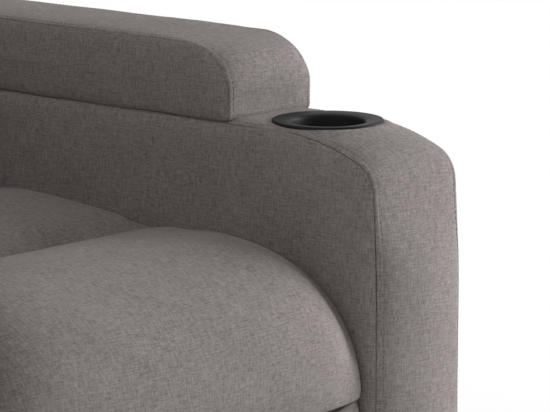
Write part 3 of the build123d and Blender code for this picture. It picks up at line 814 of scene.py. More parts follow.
@dataclass(frozen=True)
class Finish:
    """A finish whose colour, roughness and relief come from a shared node group."""

    name: str
    dark: Tone
    light: Tone

    def start(
        self, group: bpy.types.NodeTree, strength: float, relief: float, values: dict[str, float]
    ) -> tuple[bpy.types.Material, bpy.types.Node, bpy.types.Node]:
        """Start the material, with its colour, roughness and relief linked.

        Args:
            group: The node group.
            strength: Strength of the relief, from 0 to 1.
            relief: Height of the relief.
            values: Values of the group's own inputs, beside its two colours.

        Returns:
            The new material, its shader, and the node of its group.
        """
        material = bpy.data.materials.new(self.name)
        material.use_nodes = True
        desk = NodeDesk(material.node_tree)
        shader = material.node_tree.nodes["Principled BSDF"]
        source = desk.add("ShaderNodeGroup", node_tree=group)
        colours = {"Dark": (*self.dark, 1.0), "Light": (*self.light, 1.0)}
        for label, value in (colours | values).items():
            source.inputs[label].default_value = value
        bump = desk.add("ShaderNodeBump")
        bump.inputs["Strength"].default_value = strength
        bump.inputs["Distance"].default_value = relief
        desk.link(source.outputs["Color"], shader.inputs["Base Color"])
        desk.link(source.outputs["Roughness"], shader.inputs["Roughness"])
        desk.link(source.outputs["Height"], bump.inputs["Height"])
        desk.link(bump.outputs["Normal"], shader.inputs["Normal"])
        return material, shader, source


@dataclass(frozen=True)
class Linen(Finish):
    """Woven cover fabric, laid out on a piece's weave map."""

    threads: float = 3400.0
    bump: float = 0.35
    relief: float = 0.0006
    sheen: float = 0.05
    sheen_roughness: float = 0.6
    specular: float = 0.25

    def make(self, group: bpy.types.NodeTree) -> bpy.types.Material:
        """Build the material.

        Args:
            group: The linen weave group.

        Returns:
            The new material.
        """
        material, shader, weave = self.start(group, self.bump, self.relief, {"Threads": self.threads})
        desk = NodeDesk(material.node_tree)
        cloth = desk.add("ShaderNodeUVMap", uv_map=WEAVE_MAP)
        desk.link(cloth.outputs["UV"], weave.inputs["Cloth"])
        shader.inputs["Sheen Weight"].default_value = self.sheen
        shader.inputs["Sheen Roughness"].default_value = self.sheen_roughness
        shader.inputs["Specular IOR Level"].default_value = self.specular
        return material


@dataclass(frozen=True)
class Grained(Finish):
    """Moulded plastic, powder coat or plating, with a fine grain on object coordinates."""

    scale: float
    roughness: float
    spread: float
    bump: float
    relief: float = 0.0003
    metallic: float = 0.0
    specular: float = 0.5

    def make(self, group: bpy.types.NodeTree) -> bpy.types.Material:
        """Build the material.

        Args:
            group: The fine grain group.

        Returns:
            The new material.
        """
        values = {"Scale": self.scale, "Usual Roughness": self.roughness, "Spread": self.spread}
        material, shader, grain = self.start(group, self.bump, self.relief, values)
        desk = NodeDesk(material.node_tree)
        place = desk.add("ShaderNodeTexCoord")
        desk.link(place.outputs["Object"], grain.inputs["Place"])
        shader.inputs["Metallic"].default_value = self.metallic
        shader.inputs["Specular IOR Level"].default_value = self.specular
        return material


@dataclass(frozen=True)
class Plywood(Finish):
    """Bare plywood, with long grain lines up the boards."""

    lines: tuple[float, float, float] = (18.0, 18.0, 1.2)
    scale: float = 6.0
    roughness: float = 0.62
    bump: float = 0.15
    relief: float = 0.0005

    def make(self, group: bpy.types.NodeTree) -> bpy.types.Material:
        """Build the material.

        Args:
            group: The fine grain group.

        Returns:
            The new material.
        """
        values = {"Scale": self.scale, "Usual Roughness": self.roughness}
        material, _, grain = self.start(group, self.bump, self.relief, values)
        desk = NodeDesk(material.node_tree)
        place = desk.add("ShaderNodeTexCoord")
        desk.link(desk.stretch(place.outputs["Object"], self.lines), grain.inputs["Place"])
        return material


class Finishes:
    """All the finishes of the chair, by the record's slots."""

    def __init__(self) -> None:
        """Build the shared groups and every material."""
        linen = linen_group()
        grain = grain_group()
        self.cover = Linen("taupe linen", (0.172, 0.150, 0.144), (0.372, 0.331, 0.320)).make(linen)
        self.thread = Linen(
            "taupe thread", (0.13, 0.112, 0.108), (0.24, 0.21, 0.204), threads=9000.0
        ).make(linen)
        self.webbing = Linen(
            "black webbing", (0.012, 0.012, 0.013), (0.05, 0.05, 0.053), threads=1900.0, bump=0.6
        ).make(linen)
        self.plywood = Plywood("bare plywood", (0.42, 0.28, 0.16), (0.62, 0.46, 0.30)).make(grain)
        self.steel = Grained(
            "black powder coat",
            (0.014, 0.014, 0.016),
            (0.032, 0.032, 0.035),
            scale=1400.0,
            roughness=0.46,
            spread=0.2,
            bump=0.3,
        ).make(grain)
        self.zinc = Grained(
            "zinc plate",
            (0.42, 0.43, 0.45),
            (0.64, 0.65, 0.66),
            scale=260.0,
            roughness=0.34,
            spread=0.25,
            bump=0.08,
            metallic=1.0,
        ).make(grain)
        self.plastic = Grained(
            "black plastic",
            (0.010, 0.0097, 0.0096),
            (0.017, 0.0165, 0.0164),
            scale=1800.0,
            roughness=0.5,
            spread=0.14,
            bump=0.15,
            specular=0.10,
        ).make(grain)
        self.button = Grained(
            "grey button plastic",
            (0.13, 0.13, 0.135),
            (0.20, 0.20, 0.205),
            scale=1500.0,
            roughness=0.5,
            spread=0.1,
            bump=0.15,
        ).make(grain)

    def by_slot(self) -> dict[Slot, bpy.types.Material]:
        """The material of each slot."""
        return {
            Slot.FABRIC: self.cover,
            Slot.WEBBING: self.webbing,
            Slot.PLYWOOD: self.plywood,
            Slot.BLACK_STEEL: self.steel,
            Slot.ZINC: self.zinc,
            Slot.PLASTIC: self.plastic,
            Slot.BUTTON: self.button,
        }


@dataclass
class Piecework:
    """Fits finished pieces to the frame: material, body, and hiding the nodes they stand for."""

    finishes: Finishes

    def fit(
        self,
        piece: Piece,
        material: bpy.types.Material,
        body: Body,
        slot: Slot,
        nodes: Sequence[str] = (),
        fill: float | None = None,
    ) -> None:
        """Dress a finished piece and tie it to its body.

        Args:
            piece: Finished piece, with its place in its mesh.
            material: Its finish.
            body: Body that it rides on.
            slot: Slot that its finish comes from; not used.
            nodes: Nodes that it stands for.
            fill: How full a padded piece is, or nothing for a hard one; not used.
        """
        piece.data.materials.clear()
        piece.data.materials.append(material)
        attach(piece, body.value)
        if nodes:
            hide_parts(*nodes)
        log.info("%s: %d faces on %s", piece.name, len(piece.data.polygons), body.value)

    def fit_pair(
        self,
        piece: Piece,
        material: bpy.types.Material,
        slot: Slot,
        node: str = "",
        fill: float | None = None,
    ) -> dict[Side, Piece]:
        """Dress a left-hand piece and its mirror image, and tie both to the base.

        Args:
            piece: Finished piece on the sitter's left.
            material: Finish of both.
            slot: Slot that the finish comes from; passed on to fit, which does not use it.
            node: Node that each stands for, without the ending for its side.
            fill: How full a padded piece is, or nothing for a hard one; passed on to fit, which does not
                use it.

        Returns:
            The two pieces, by side.
        """
        copy = mirror_piece(piece, piece.name.replace(Side.LEFT.tail, Side.RIGHT.tail))
        pair = {Side.LEFT: piece, Side.RIGHT: copy}
        for side, twin in pair.items():
            nodes = [f"{node}_{side.tail}"] if node else []
            self.fit(twin, material, Body.BASE, slot, nodes, fill)
        return pair


# Arms and arm pads

Runs = tuple[Points, Points, Points, Points]


def close_runs(front: Points, top: Points, under: Points, rear: tuple, start: tuple) -> Runs:
    """Close an outline down the rear and along the bottom, with as many points as its front and top have.

    Args:
        front: Run up the front.
        top: Run back along the top.
        under: Start of the run down the rear, below the rear corner's middle.
        rear: Lower rear corner.
        start: Lower front corner.

    Returns:
        The front, top, rear and bottom runs.
    """
    fall = line(under[-1], rear, len(front) - len(under))
    return front, top, chain(under, fall), line(rear, start, len(top) - 1)


@dataclass(frozen=True)
class ArmOutline:
    """Side outline of an arm, drawn as four runs of points round its cover."""

    front: float = SEAT_FRONT + 0.0155
    rear: float = SEAT_FRONT + 0.7505
    top: float = 0.5884
    bottom: float = 0.045
    crown_radius: float = 0.265
    crown_turn: float = 23.0
    corner_radius: float = 0.0325
    corner_turn: float = 62.0
    bow_radius: float = 1.15
    rear_radius: float = 0.046
    tightest: float = 0.003

    def runs(self, inset: float, bottom: float) -> Runs:
        """Front, top, rear and bottom runs of the outline, drawn in by an inset.

        Args:
            inset: How far the outline is drawn in; less than nothing grows it.
            bottom: Height of the lower edge.

        Returns:
            The four runs, each starting where the one before it ends.
        """
        rim = self.front + inset
        top = self.top - inset
        back = self.rear - inset
        crown = self.crown_radius - inset
        corner = max(self.corner_radius - inset, self.tightest)
        rear = max(self.rear_radius - inset, self.tightest)
        bow = self.bow_radius - inset
        bow_end = self.crown_turn + self.corner_turn
        bow_rise = bow * cos(radians(bow_end))
        corner_rise = corner * (cos(radians(self.crown_turn)) - cos(radians(bow_end)))
        crown_rise = crown * (1 - cos(radians(self.crown_turn)))
        upright = line((rim, bottom), (rim, top - bow_rise - corner_rise - crown_rise), 60)
        bowed = sweep(upright[-1], 90.0, bow, 90.0 - bow_end, 10)
        lower = sweep(bowed[-1], bow_end, corner, self.corner_turn / 2, 6)
        upper = sweep(lower[-1], bow_end - self.corner_turn / 2, corner, self.corner_turn / 2, 6)
        crowned = sweep(upper[-1], self.crown_turn, crown, self.crown_turn, 22)
        level = line(crowned[-1], (back - rear, top), 112)
        over = sweep(level[-1], 0.0, rear, 45.0, 5)
        under = sweep(over[-1], -45.0, rear, 45.0, 5)
        front = chain(upright, bowed, lower)
        head = chain(upper, crowned, level, over)
        return close_runs(front, head, under, (back, bottom), (rim, bottom))


@dataclass(frozen=True)
class PadOutline:
    """Side outline of an arm pad, drawn as four runs of points round its cover."""

    outer: float = 0.3788
    nose: float = SEAT_FRONT + 0.2097
    tail: float = SEAT_FRONT + 0.7335
    top: float = 0.6652
    nose_run: float = 0.062
    nose_fall: float = 0.047
    nose_power: float = 1.8
    foot_radius: float = 0.007
    tail_radius: float = 0.030
    tightest: float = 0.002
    least_upright: float = 0.001

    def runs(self, inset: float, bottom: float) -> Runs:
        """Front, top, rear and bottom runs of the outline, drawn in by an inset.

        Args:
            inset: How far the outline is drawn in; less than nothing grows it.
            bottom: Height of the lower edge.

        Returns:
            The four runs, each starting where the one before it ends.
        """
        nose = self.nose + inset
        tail = self.tail - inset
        top = self.top - inset
        foot = max(self.foot_radius - inset, self.tightest)
        rear = max(self.tail_radius - inset, self.tightest)
        reach = max(self.nose_run - inset, self.tightest)
        fall = max(self.nose_fall - inset, self.tightest)
        fall = min(fall, top - bottom - foot - self.least_upright)
        turn = np.linspace(0.0, pi / 2, 25)
        power = 2.0 / self.nose_power
        bend = np.stack(
            [nose + reach * (1 - np.cos(turn) ** power), top - fall + fall * np.sin(turn) ** power], axis=1
        )
        tuck = sweep((nose + foot, bottom), 180.0, foot, 90.0, 8)
        upright = line(tuck[-1], bend[0], 12)
        level = line(bend[-1], (tail - rear, top), 70)
        over = sweep(level[-1], 0.0, rear, 45.0, 5)
        under = sweep(over[-1], -45.0, rear, 45.0, 5)
        middle = len(bend) // 2
        front = chain(tuck, upright, bend[: middle + 1])
        head = chain(bend[middle:], level, over)
        return close_runs(front, head, under, (tail, bottom), (nose + foot, bottom))


@dataclass(frozen=True)
class SeamProfile:
    """Section of a topstitched seam between a band and a panel, as steps from the seam's line.

    A band step is how far in from the seam it lies and how high it stands, and stitch is the index of the
    one with the stitches. A panel step is how far in from the outline it lies and how far out of the seam's
    plane it stands, on a panel whose bulge is full, and middle is what the panel's middle adds.
    """

    band: tuple[tuple[float, float], ...] = (
        (0.0005, -0.00068),
        (0.0007, -0.00034),
        (0.0011, -0.00006),
        (0.0019, 0.00018),
        (0.0030, 0.00030),
        (0.0042, 0.00022),
        (0.0052, 0.00002),
        (0.0058, -0.00016),
        (0.0065, -0.00005),
        (0.0082, 0.0),
    )
    crowned: tuple[float, ...] = (0.011, 0.014, 0.018) + tuple(0.022 + 0.005 * step for step in range(8))
    panel: tuple[tuple[float, float], ...] = (
        (0.0007, -0.0005),
        (0.0010, 0.0001),
        (0.0018, 0.0009),
        (0.0032, 0.0021),
        (0.0054, 0.0035),
        (0.0088, 0.0048),
        (0.0140, 0.0060),
        (0.0215, 0.0069),
        (0.0320, 0.0075),
        (0.0460, 0.0079),
    )
    stitch: int = 7
    rolled: float = 0.32
    full: float = 0.008
    middle: float = 0.0004

    def share(self, place: float) -> float:
        """Share of the full crown at a place, from 0 at the seam to 1 at the middle."""
        return (1 - self.rolled) * (1 - (1 - place) ** 2) + self.rolled * (1 - (1 - place) ** 8)

    def columns(self, width: float) -> list[tuple[float, float, float]]:
        """Columns across a band from its inner seam to its outer one.

        Args:
            width: Distance between the two seams.

        Returns:
            For each column, its distance from the inner seam, its seam height and its share of the crown.
        """
        half = width / 2
        steps = self.band + tuple((step, 0.0) for step in self.crowned)
        inner = [(step, height, self.share(step / half)) for step, height in steps]
        outer = [(width - step, height, share) for step, height, share in reversed(inner)]
        return inner + [(half, 0.0, 1.0)] + outer


class BoxCover:
    """A cover with a band round its edge and a padded panel on each side, as arms and arm pads have."""

    def __init__(
        self, outline: ArmOutline | PadOutline, seam: SeamProfile, outer: float, reach: float
    ) -> None:
        """Keep the cover's shape.

        Args:
            outline: Side outline at the seams.
            seam: Section of the seams.
            outer: X of the outer seam, on the sitter's left.
            reach: How far in from the outline the rings of a panel may go.
        """
        self.outline = outline
        self.seam = seam
        self.outer = outer
        self.rings = [step for step in seam.panel if step[0] <= reach]

    def band(
        self, name: str, bottom: float, crown: Callable[[Points], Points], closed: bool
    ) -> tuple[Piece, Points]:
        """Lay the band round the outline.

        Args:
            name: Name of the piece.
            bottom: Height of its lower edge.
            crown: Height of its crown at each point of the seam's line.
            closed: Whether it runs along the bottom too.

        Returns:
            The band, and the places of its points as rows by columns by three.
        """
        base = self.path(0.0, bottom, closed)
        rises = crown(base)
        growth = 0.01
        columns = self.seam.columns(self.outer - SEAM_IN)
        sheet = np.zeros((len(base), len(columns), 3))
        for index, (step, height, share) in enumerate(columns):
            low = self.path(-height, bottom, closed)
            high = self.path(-height - growth, bottom, closed)
            sheet[:, index, 0] = SEAM_IN + step
            sheet[:, index, 1:] = low + (high - low) * (rises * share / growth)[:, None]
        along = np.repeat(lengths(base)[:, None], len(columns), axis=1)
        weave = np.stack([sheet[:, :, 0], along], axis=2)
        return lay_grid(name, sheet, weave), sheet

    def path(self, inset: float, bottom: float, closed: bool) -> Points:
        """Line round the outline, drawn in by an inset and open or closed at the bottom."""
        runs = self.outline.runs(inset, bottom)
        return chain(*runs) if closed else chain(*runs[:-1])

    def panel(self, name: str, bottom: float, facing: int, bulge: float) -> Piece:
        """Lay a padded side panel inside the outline.

        Args:
            name: Name of the piece.
            bottom: Height of its lower edge.
            facing: -1 for the inner panel, 1 for the outer one.
            bulge: How far the panel's middle stands out.

        Returns:
            The panel.
        """
        plane = SEAM_IN if facing < 0 else self.outer
        rings = []
        scale = bulge / self.seam.full
        for inset, stand in self.rings:
            loop = self.path(inset, bottom + inset, True)
            stand = stand * scale if stand > 0 else stand
            rings.append(np.column_stack([np.full(len(loop), plane + facing * stand), loop]))
        sheet = np.stack(rings)
        border = lay_grid(name, sheet, sheet[:, :, 1:])
        last, stand = self.rings[-1]
        net = fill_between(*self.outline.runs(last, bottom + last))
        rows, columns = net.shape[:2]
        up = np.sin(np.linspace(0.0, pi, rows))[:, None] * np.sin(np.linspace(0.0, pi, columns))[None]
        level = plane + facing * (stand * scale + self.seam.middle * up)
        middle = lay_grid(name + "_middle", np.concatenate([level[:, :, None], net], axis=2), net)
        return join([border, middle])


def run_stitches(name: str, seams: Sequence[Points], radius: float = THREAD_RADIUS) -> Piece:
    """Sew a row of short thread stitches along each seam.

    Args:
        name: Name of the piece.
        seams: Lines to sew along, as rows of three.
        radius: Half the thread's thickness.

    Returns:
        All the stitches as one piece.
    """
    rows = []
    for seam in seams:
        path = bpy.data.curves.new(name + "_path", "CURVE")
        path.dimensions = "3D"
        spline = path.splines.new("POLY")
        spline.points.add(len(seam) - 1)
        spline.points.foreach_set("co", np.column_stack([seam, np.ones(len(seam))]).reshape(-1))
        guide = bpy.data.objects.new(path.name, path)
        bpy.context.scene.collection.objects.link(guide)
        bpy.ops.object.select_all(action="DESELECT")
        bpy.ops.mesh.primitive_uv_sphere_add(
            segments=6, ring_count=5, rotation=(0.0, pi / 2, 0.0), scale=(radius, radius, STITCH_LENGTH / 2)
        )
        stitch = take_new(name)
        stitch.data.uv_layers[0].name = WEAVE_MAP
        bpy.ops.object.transform_apply(location=True, rotation=True, scale=True)
        finish_with(
            stitch,
            "ARRAY",
            fit_type="FIT_CURVE",
            curve=guide,
            use_relative_offset=False,
            use_constant_offset=True,
            constant_offset_displace=(STITCH_PITCH, 0.0, 0.0),
        )
        finish_with(stitch, "CURVE", object=guide)
        bpy.data.objects.remove(guide)
        rows.append(stitch)
    pick(*rows)
    bpy.ops.object.join()
    smooth(rows[0])
    return rows[0]


# Section of the cup holder from the middle of its base up its outside and down again inside, as radius and
# height above the arm's top
CUP_PROFILE = (
    (0.0000, -0.0626),
    (0.0362, -0.0626),
    (0.0400, -0.0085),
    (0.0510, 0.0010),
    (0.0556, 0.0014),
    (0.0560, 0.0028),
    (0.0557, 0.0042),
    (0.0548, 0.0051),
    (0.0534, 0.0053),
    (0.0440, 0.0042),
    (0.0393, 0.0034),
    (0.0380, 0.0024),
    (0.0374, 0.0002),
    (0.0342, -0.0575),
    (0.0320, -0.0598),
    (0.0000, -0.0600),
)


@dataclass
class Arms:
    """Both arms: band, panels, stitches, raised pad and cup holder.

    The band's crown stands over its seams by band_crown, with two swellings. Its upright runs have
    front_crown more, which fades out between the two depths of crown_fade below the arm's top. The pad's
    crown starts at pad_low_share of its height. Round the cup the band meets the lip at cup_line, over
    cup_lift where it has to rise and cup_reach where it has to sink, except close to its seams. A lining
    starts lining_lap above the inner panel's lower edge.
    """

    work: Piecework
    outline: ArmOutline = ArmOutline()
    pad: PadOutline = PadOutline()
    seam: SeamProfile = SeamProfile()
    pad_seam: SeamProfile = SeamProfile(rolled=0.55)
    panel_reach: float = 0.050
    pad_panel_reach: float = 0.034
    band_crown: float = 0.0062
    front_crown: float = 0.0090
    crown_fade: tuple[float, float] = (0.135, 0.060)
    brow: Swelling = Swelling(height=0.0046, back=0.047, below=0.008, reach=0.045)
    bend: Swelling = Swelling(height=-0.0026, back=0.010, below=0.060, reach=0.034)
    pad_crown: float = 0.0042
    pad_low_share: float = 0.25
    pad_fade: float = 0.010
    pad_corner: Swelling = Swelling(height=0.0058, back=0.016, below=0.020, reach=0.022)
    pad_brow: Swelling = Swelling(height=-0.0034, back=0.056, below=0.002, reach=0.032)
    pad_gap: float = 0.0003
    pad_bulge_share: float = 0.75
    panel_bulge: float = 0.0072
    cloth: float = 0.0012
    thread: float = 0.00036
    inner_bottom: float = 0.112
    cup_rim: float = 0.056
    cup_margin: float = 0.002
    cup_lap: float = 0.0032
    cup_reach: float = 0.040
    cup_lift: float = 0.010
    cup_line: float = 0.0030
    cup_zone: float = 0.05
    seam_hold: float = 0.004
    seam_give: float = 0.012
    band_dents: Dents = Dents(0.0006, 0.085, 3.1)
    inner_dents: Dents = Dents(0.0006, 0.085, 8.4)
    outer_dents: Dents = Dents(0.0006, 0.085, 12.7)
    pad_dents: Dents = Dents(0.0009, 0.075, 21.3)
    lining_lap: float = 0.016
    lining_fold: float = 0.003
    lining_proud: float = 0.0006

    def build(self) -> None:
        """Build the left arm, and the right one as its mirror image."""
        finishes = self.work.finishes
        cover = BoxCover(self.outline, self.seam, SEAM_OUT, self.panel_reach)
        band, sheet = cover.band("arm_band_cover_left", self.outline.bottom, self.arm_crown, False)
        self.settle_round_cup(band)
        seams = [sheet[:, self.seam.stitch], sheet[:, -1 - self.seam.stitch]]
        inner = cover.panel("arm_inner_cover_left", self.inner_bottom, -1, self.panel_bulge)
        outer = cover.panel("arm_outer_cover_left", self.outline.bottom, 1, self.panel_bulge)
        covers = ((band, self.band_dents), (inner, self.inner_dents), (outer, self.outer_dents))
        for piece, pattern in covers:
            pattern.press(piece)
            finish_with(piece, "SOLIDIFY", thickness=self.cloth, offset=-1.0)
            smooth(piece)
        pad, pad_seams = self.make_pad()
        stitches = run_stitches("arm_stitches_left", seams + pad_seams, self.thread)
        cup = self.make_cup()
        self.work.fit_pair(band, finishes.cover, Slot.FABRIC, "arm_band", 0.8)
        self.work.fit_pair(inner, finishes.cover, Slot.FABRIC, "arm_inner_panel", 0.8)
        self.work.fit_pair(outer, finishes.cover, Slot.FABRIC, "arm_outer_panel", 0.8)
        self.work.fit_pair(pad, finishes.cover, Slot.FABRIC, "arm_pad", 0.85)
        self.work.fit_pair(cup, finishes.plastic, Slot.PLASTIC, "cup_holder")
        self.work.fit_pair(stitches, finishes.thread, Slot.FABRIC)
        self.build_linings()

    def build_linings(self) -> None:
        """Stretch a cloth over each frame where its panels leave it bare: inside, low down, and below."""
        inside = SEAM_IN - self.lining_proud
        below = self.outline.bottom - self.lining_proud / 2
        fold = self.lining_fold
        turn = fold * CORNER_EASE
        section = chain(
            line((inside, self.inner_bottom + self.lining_lap), (inside, below + fold), 10),
            arc_through((inside, below + fold), (inside + turn, below + turn), (inside + fold, below), 4),
            line((inside + fold, below), (SEAM_OUT - self.lining_proud, below), 14),
        )
        along = np.linspace(self.outline.rear - self.cloth, self.outline.front + self.cloth, 61)
        sheet = np.zeros((len(along), len(section), 3))
        sheet[:, :, [0, 2]] = section
        sheet[:, :, 1] = along[:, None]
        weave = np.stack([np.repeat(lengths(section)[None], len(along), axis=0), sheet[:, :, 1]], axis=2)
        flat = (float(lengths(section)[-1]), float(along[0] - along[-1]))
        lining = lay_grid("arm_lining_left", sheet, weave)
        finish_with(lining, "SOLIDIFY", thickness=self.cloth, offset=-1.0)
        smooth(lining, 40.0)
        pair = self.work.fit_pair(lining, self.work.finishes.cover, Slot.FABRIC)

    def arm_crown(self, base: Points) -> Points:
        """Crown of the arm's band at each point of the seam's line.

        Args:
            base: The seam's line.

        Returns:
            The crown's height at each point.
        """
        front, top = self.outline.front, self.outline.top
        low, high = self.crown_fade
        crown = self.band_crown + self.front_crown * (1 - ramp(base[:, 1], top - low, top - high))
        return crown + self.brow.over(base, front, top) + self.bend.over(base, front, top)

    def pad_rise(self, base: Points) -> Points:
        """Crown of the pad's band at each point of the seam's line.

        Args:
            base: The seam's line.

        Returns:
            The crown's height at each point.
        """
        nose, top = self.pad.nose, self.pad.top
        risen = ramp(base[:, 1], self.outline.top, top - self.pad_fade)
        crown = self.pad_crown * (self.pad_low_share + (1 - self.pad_low_share) * risen)
        return crown + self.pad_corner.over(base, nose, top) + self.pad_brow.over(base, nose, top)

    def settle_round_cup(self, band: Piece) -> None:
        """Draw the band's top level with the cup's lip, and open it under the lip.

        Args:
            band: The arm band, on the sitter's left.
        """
        points = places(band)
        away = np.hypot(points[:, 0] - ARM_MID, points[:, 1] - CUP_Y) - self.cup_rim - self.cup_margin
        rise = CUP_SEAT + self.cup_line - points[:, 2]
        hold = 1 - np.where(rise > 0, ramp(away, 0.0, self.cup_lift), ramp(away, 0.0, self.cup_reach))
        edge = np.minimum(points[:, 0] - SEAM_IN, SEAM_OUT - points[:, 0])
        free = np.clip((edge - self.seam_hold) / self.seam_give, 0.0, 1.0)
        points[:, 2] += hold * free * rise * (points[:, 2] > self.outline.top - self.cup_zone)
        place_points(band, points)
        pick(band)
        bpy.ops.object.mode_set(mode="EDIT")
        bpy.ops.mesh.select_all(action="DESELECT")
        bpy.ops.object.mode_set(mode="OBJECT")
        for face in band.data.polygons:
            centre = face.center
            away = (centre.x - ARM_MID) ** 2 + (centre.y - CUP_Y) ** 2
            inside = away < (self.cup_rim - self.cup_lap) ** 2
            face.select = inside and centre.z > self.outline.top - self.cup_zone
        bpy.ops.object.mode_set(mode="EDIT")
        bpy.ops.mesh.delete(type="FACE")
        bpy.ops.object.mode_set(mode="OBJECT")

    def make_pad(self) -> tuple[Piece, list[Points]]:
        """Make the left arm pad, closed all round.

        Returns:
            The pad, and the lines of its two rows of stitches.
        """
        cover = BoxCover(self.pad, self.pad_seam, self.pad.outer, self.pad_panel_reach)
        low = self.outline.top + self.pad_gap
        bulge = self.panel_bulge * self.pad_bulge_share
        band, sheet = cover.band("arm_pad_cover_left", low, self.pad_rise, True)
        inner = cover.panel("arm_pad_inner_left", low, -1, bulge)
        outer = cover.panel("arm_pad_outer_left", low, 1, bulge)
        pad = join([band, inner, outer])
        self.pad_dents.press(pad)
        smooth(pad)
        count = len(self.pad.runs(0.0, low)[3]) - 1
        seams = [sheet[:-count, self.seam.stitch], sheet[:-count, -1 - self.seam.stitch]]
        return pad, seams

    def make_cup(self) -> Piece:
        """Turn the left cup holder: a rounded lip, a wide flange and a deep cup.

        Returns:
            The cup holder.
        """
        bpy.ops.object.select_all(action="DESELECT")
        bpy.ops.mesh.primitive_circle_add(vertices=len(CUP_PROFILE), radius=0.01)
        cup = take_new("cup_holder_moulding_left")
        place_points(cup, np.array([(radius, 0.0, height) for radius, height in CUP_PROFILE]))
        with editing(cup):
            bpy.ops.mesh.spin(steps=96, angle=2 * pi, center=(0.0, 0.0, 0.0), axis=(0.0, 0.0, 1.0))
            bpy.ops.mesh.select_all(action="SELECT")
            bpy.ops.mesh.remove_doubles(threshold=1e-5)
            bpy.ops.mesh.normals_make_consistent(inside=False)
            bpy.ops.transform.translate(value=(ARM_MID, CUP_Y, CUP_SEAT))
        smooth(cup, 38.0)
        return cup


# Cushions

# Shares of a cushion's end at which its net has rings, and how far in from the end its seams hold it: where
# the hold begins and where it is full
END_RINGS = (1.0, 0.95, 0.84, 0.68, 0.46, 0.22, 0.0)
END_HOLD = (0.006, 0.001)


def near_side(station: float) -> float:
    """Share of a change of form that comes only close to a cushion's sides."""
    return station**6


def held_ends(points: Points, half: float) -> Points:
    """How firmly the seams round a cushion's ends hold each point, from 0 to 1."""
    return ramp(np.abs(points[:, 0]), half - END_HOLD[0], half - END_HOLD[1])


def finish_cushion(piece: Piece, pattern: Dents) -> None:
    """Round a cushion's net and press its dents into it.

    Args:
        piece: The cushion.
        pattern: Its dents.
    """
    finish_with(piece, "SUBSURF", levels=1, render_levels=1)
    pattern.press(piece)
    smooth(piece)


def lay_roll(name: str, stations: Points, outline: Callable[[float], Points], half: float) -> Piece:
    """Carry a closed outline across the chair and close its two ends.

    Args:
        name: Name of the piece.
        stations: Shares of the half width at which the outline is drawn, from -1 to 1.
        outline: Closed outline at a station, as rows of Y and Z, with the first point again at the end.
        half: Half the cushion's width.

    Returns:
        The cushion.
    """
    loops = [outline(float(station)) for station in stations]
    count = len(loops[0])
    rows = np.stack(
        [np.column_stack([np.full(count, station * half), loop]) for station, loop in zip(stations, loops)]
    )
    reach = np.repeat(lengths(loops[len(loops) // 2])[None], len(loops), axis=0)
    body = lay_grid(name, rows, np.stack([rows[:, :, 0], reach], axis=2))
    pieces = [body]
    for station, loop in ((stations[0], loops[0]), (stations[-1], loops[-1])):
        middle = (loop.max(axis=0) + loop.min(axis=0)) / 2
        rings = np.stack([middle + (loop - middle) * share for share in END_RINGS])
        depth = np.full(rings.shape[:2] + (1,), station * half)
        pieces.append(lay_grid(name + "_end", np.concatenate([depth, rings], axis=2), rings))
    return join(pieces)


def stations_across(count: int, extra: Sequence[float] = ()) -> Points:
    """Stations across a cushion, closer together near its sides.

    Args:
        count: Number of stations.
        extra: Further stations, taken on both sides.

    Returns:
        Shares of the half width, from -1 to 1.
    """
    even_share, close_share = 0.55, 0.45
    even = np.linspace(-1.0, 1.0, count)
    close = even_share * even + close_share * np.sin(even * pi / 2)
    more = [sign * share for share in extra for sign in (-1.0, 1.0)]
    return np.sort(np.concatenate([close, more]))


def rim_stations(edge: float, half: float, shares: Sequence[float]) -> list[float]:
    """Stations on a cushion's rounded end, at shares of its width from the side."""
    return [1 - edge / half * share for share in shares]


@dataclass(frozen=True)
class Knot:
    """A point of the seat's front: how far behind the foremost line it lies, and its share of the draw."""

    back: float
    draw: float

    def at(self, draw: float) -> float:
        """Y of the point where the sides are drawn back by some amount."""
        return SEAT_FRONT + self.back + self.draw * draw


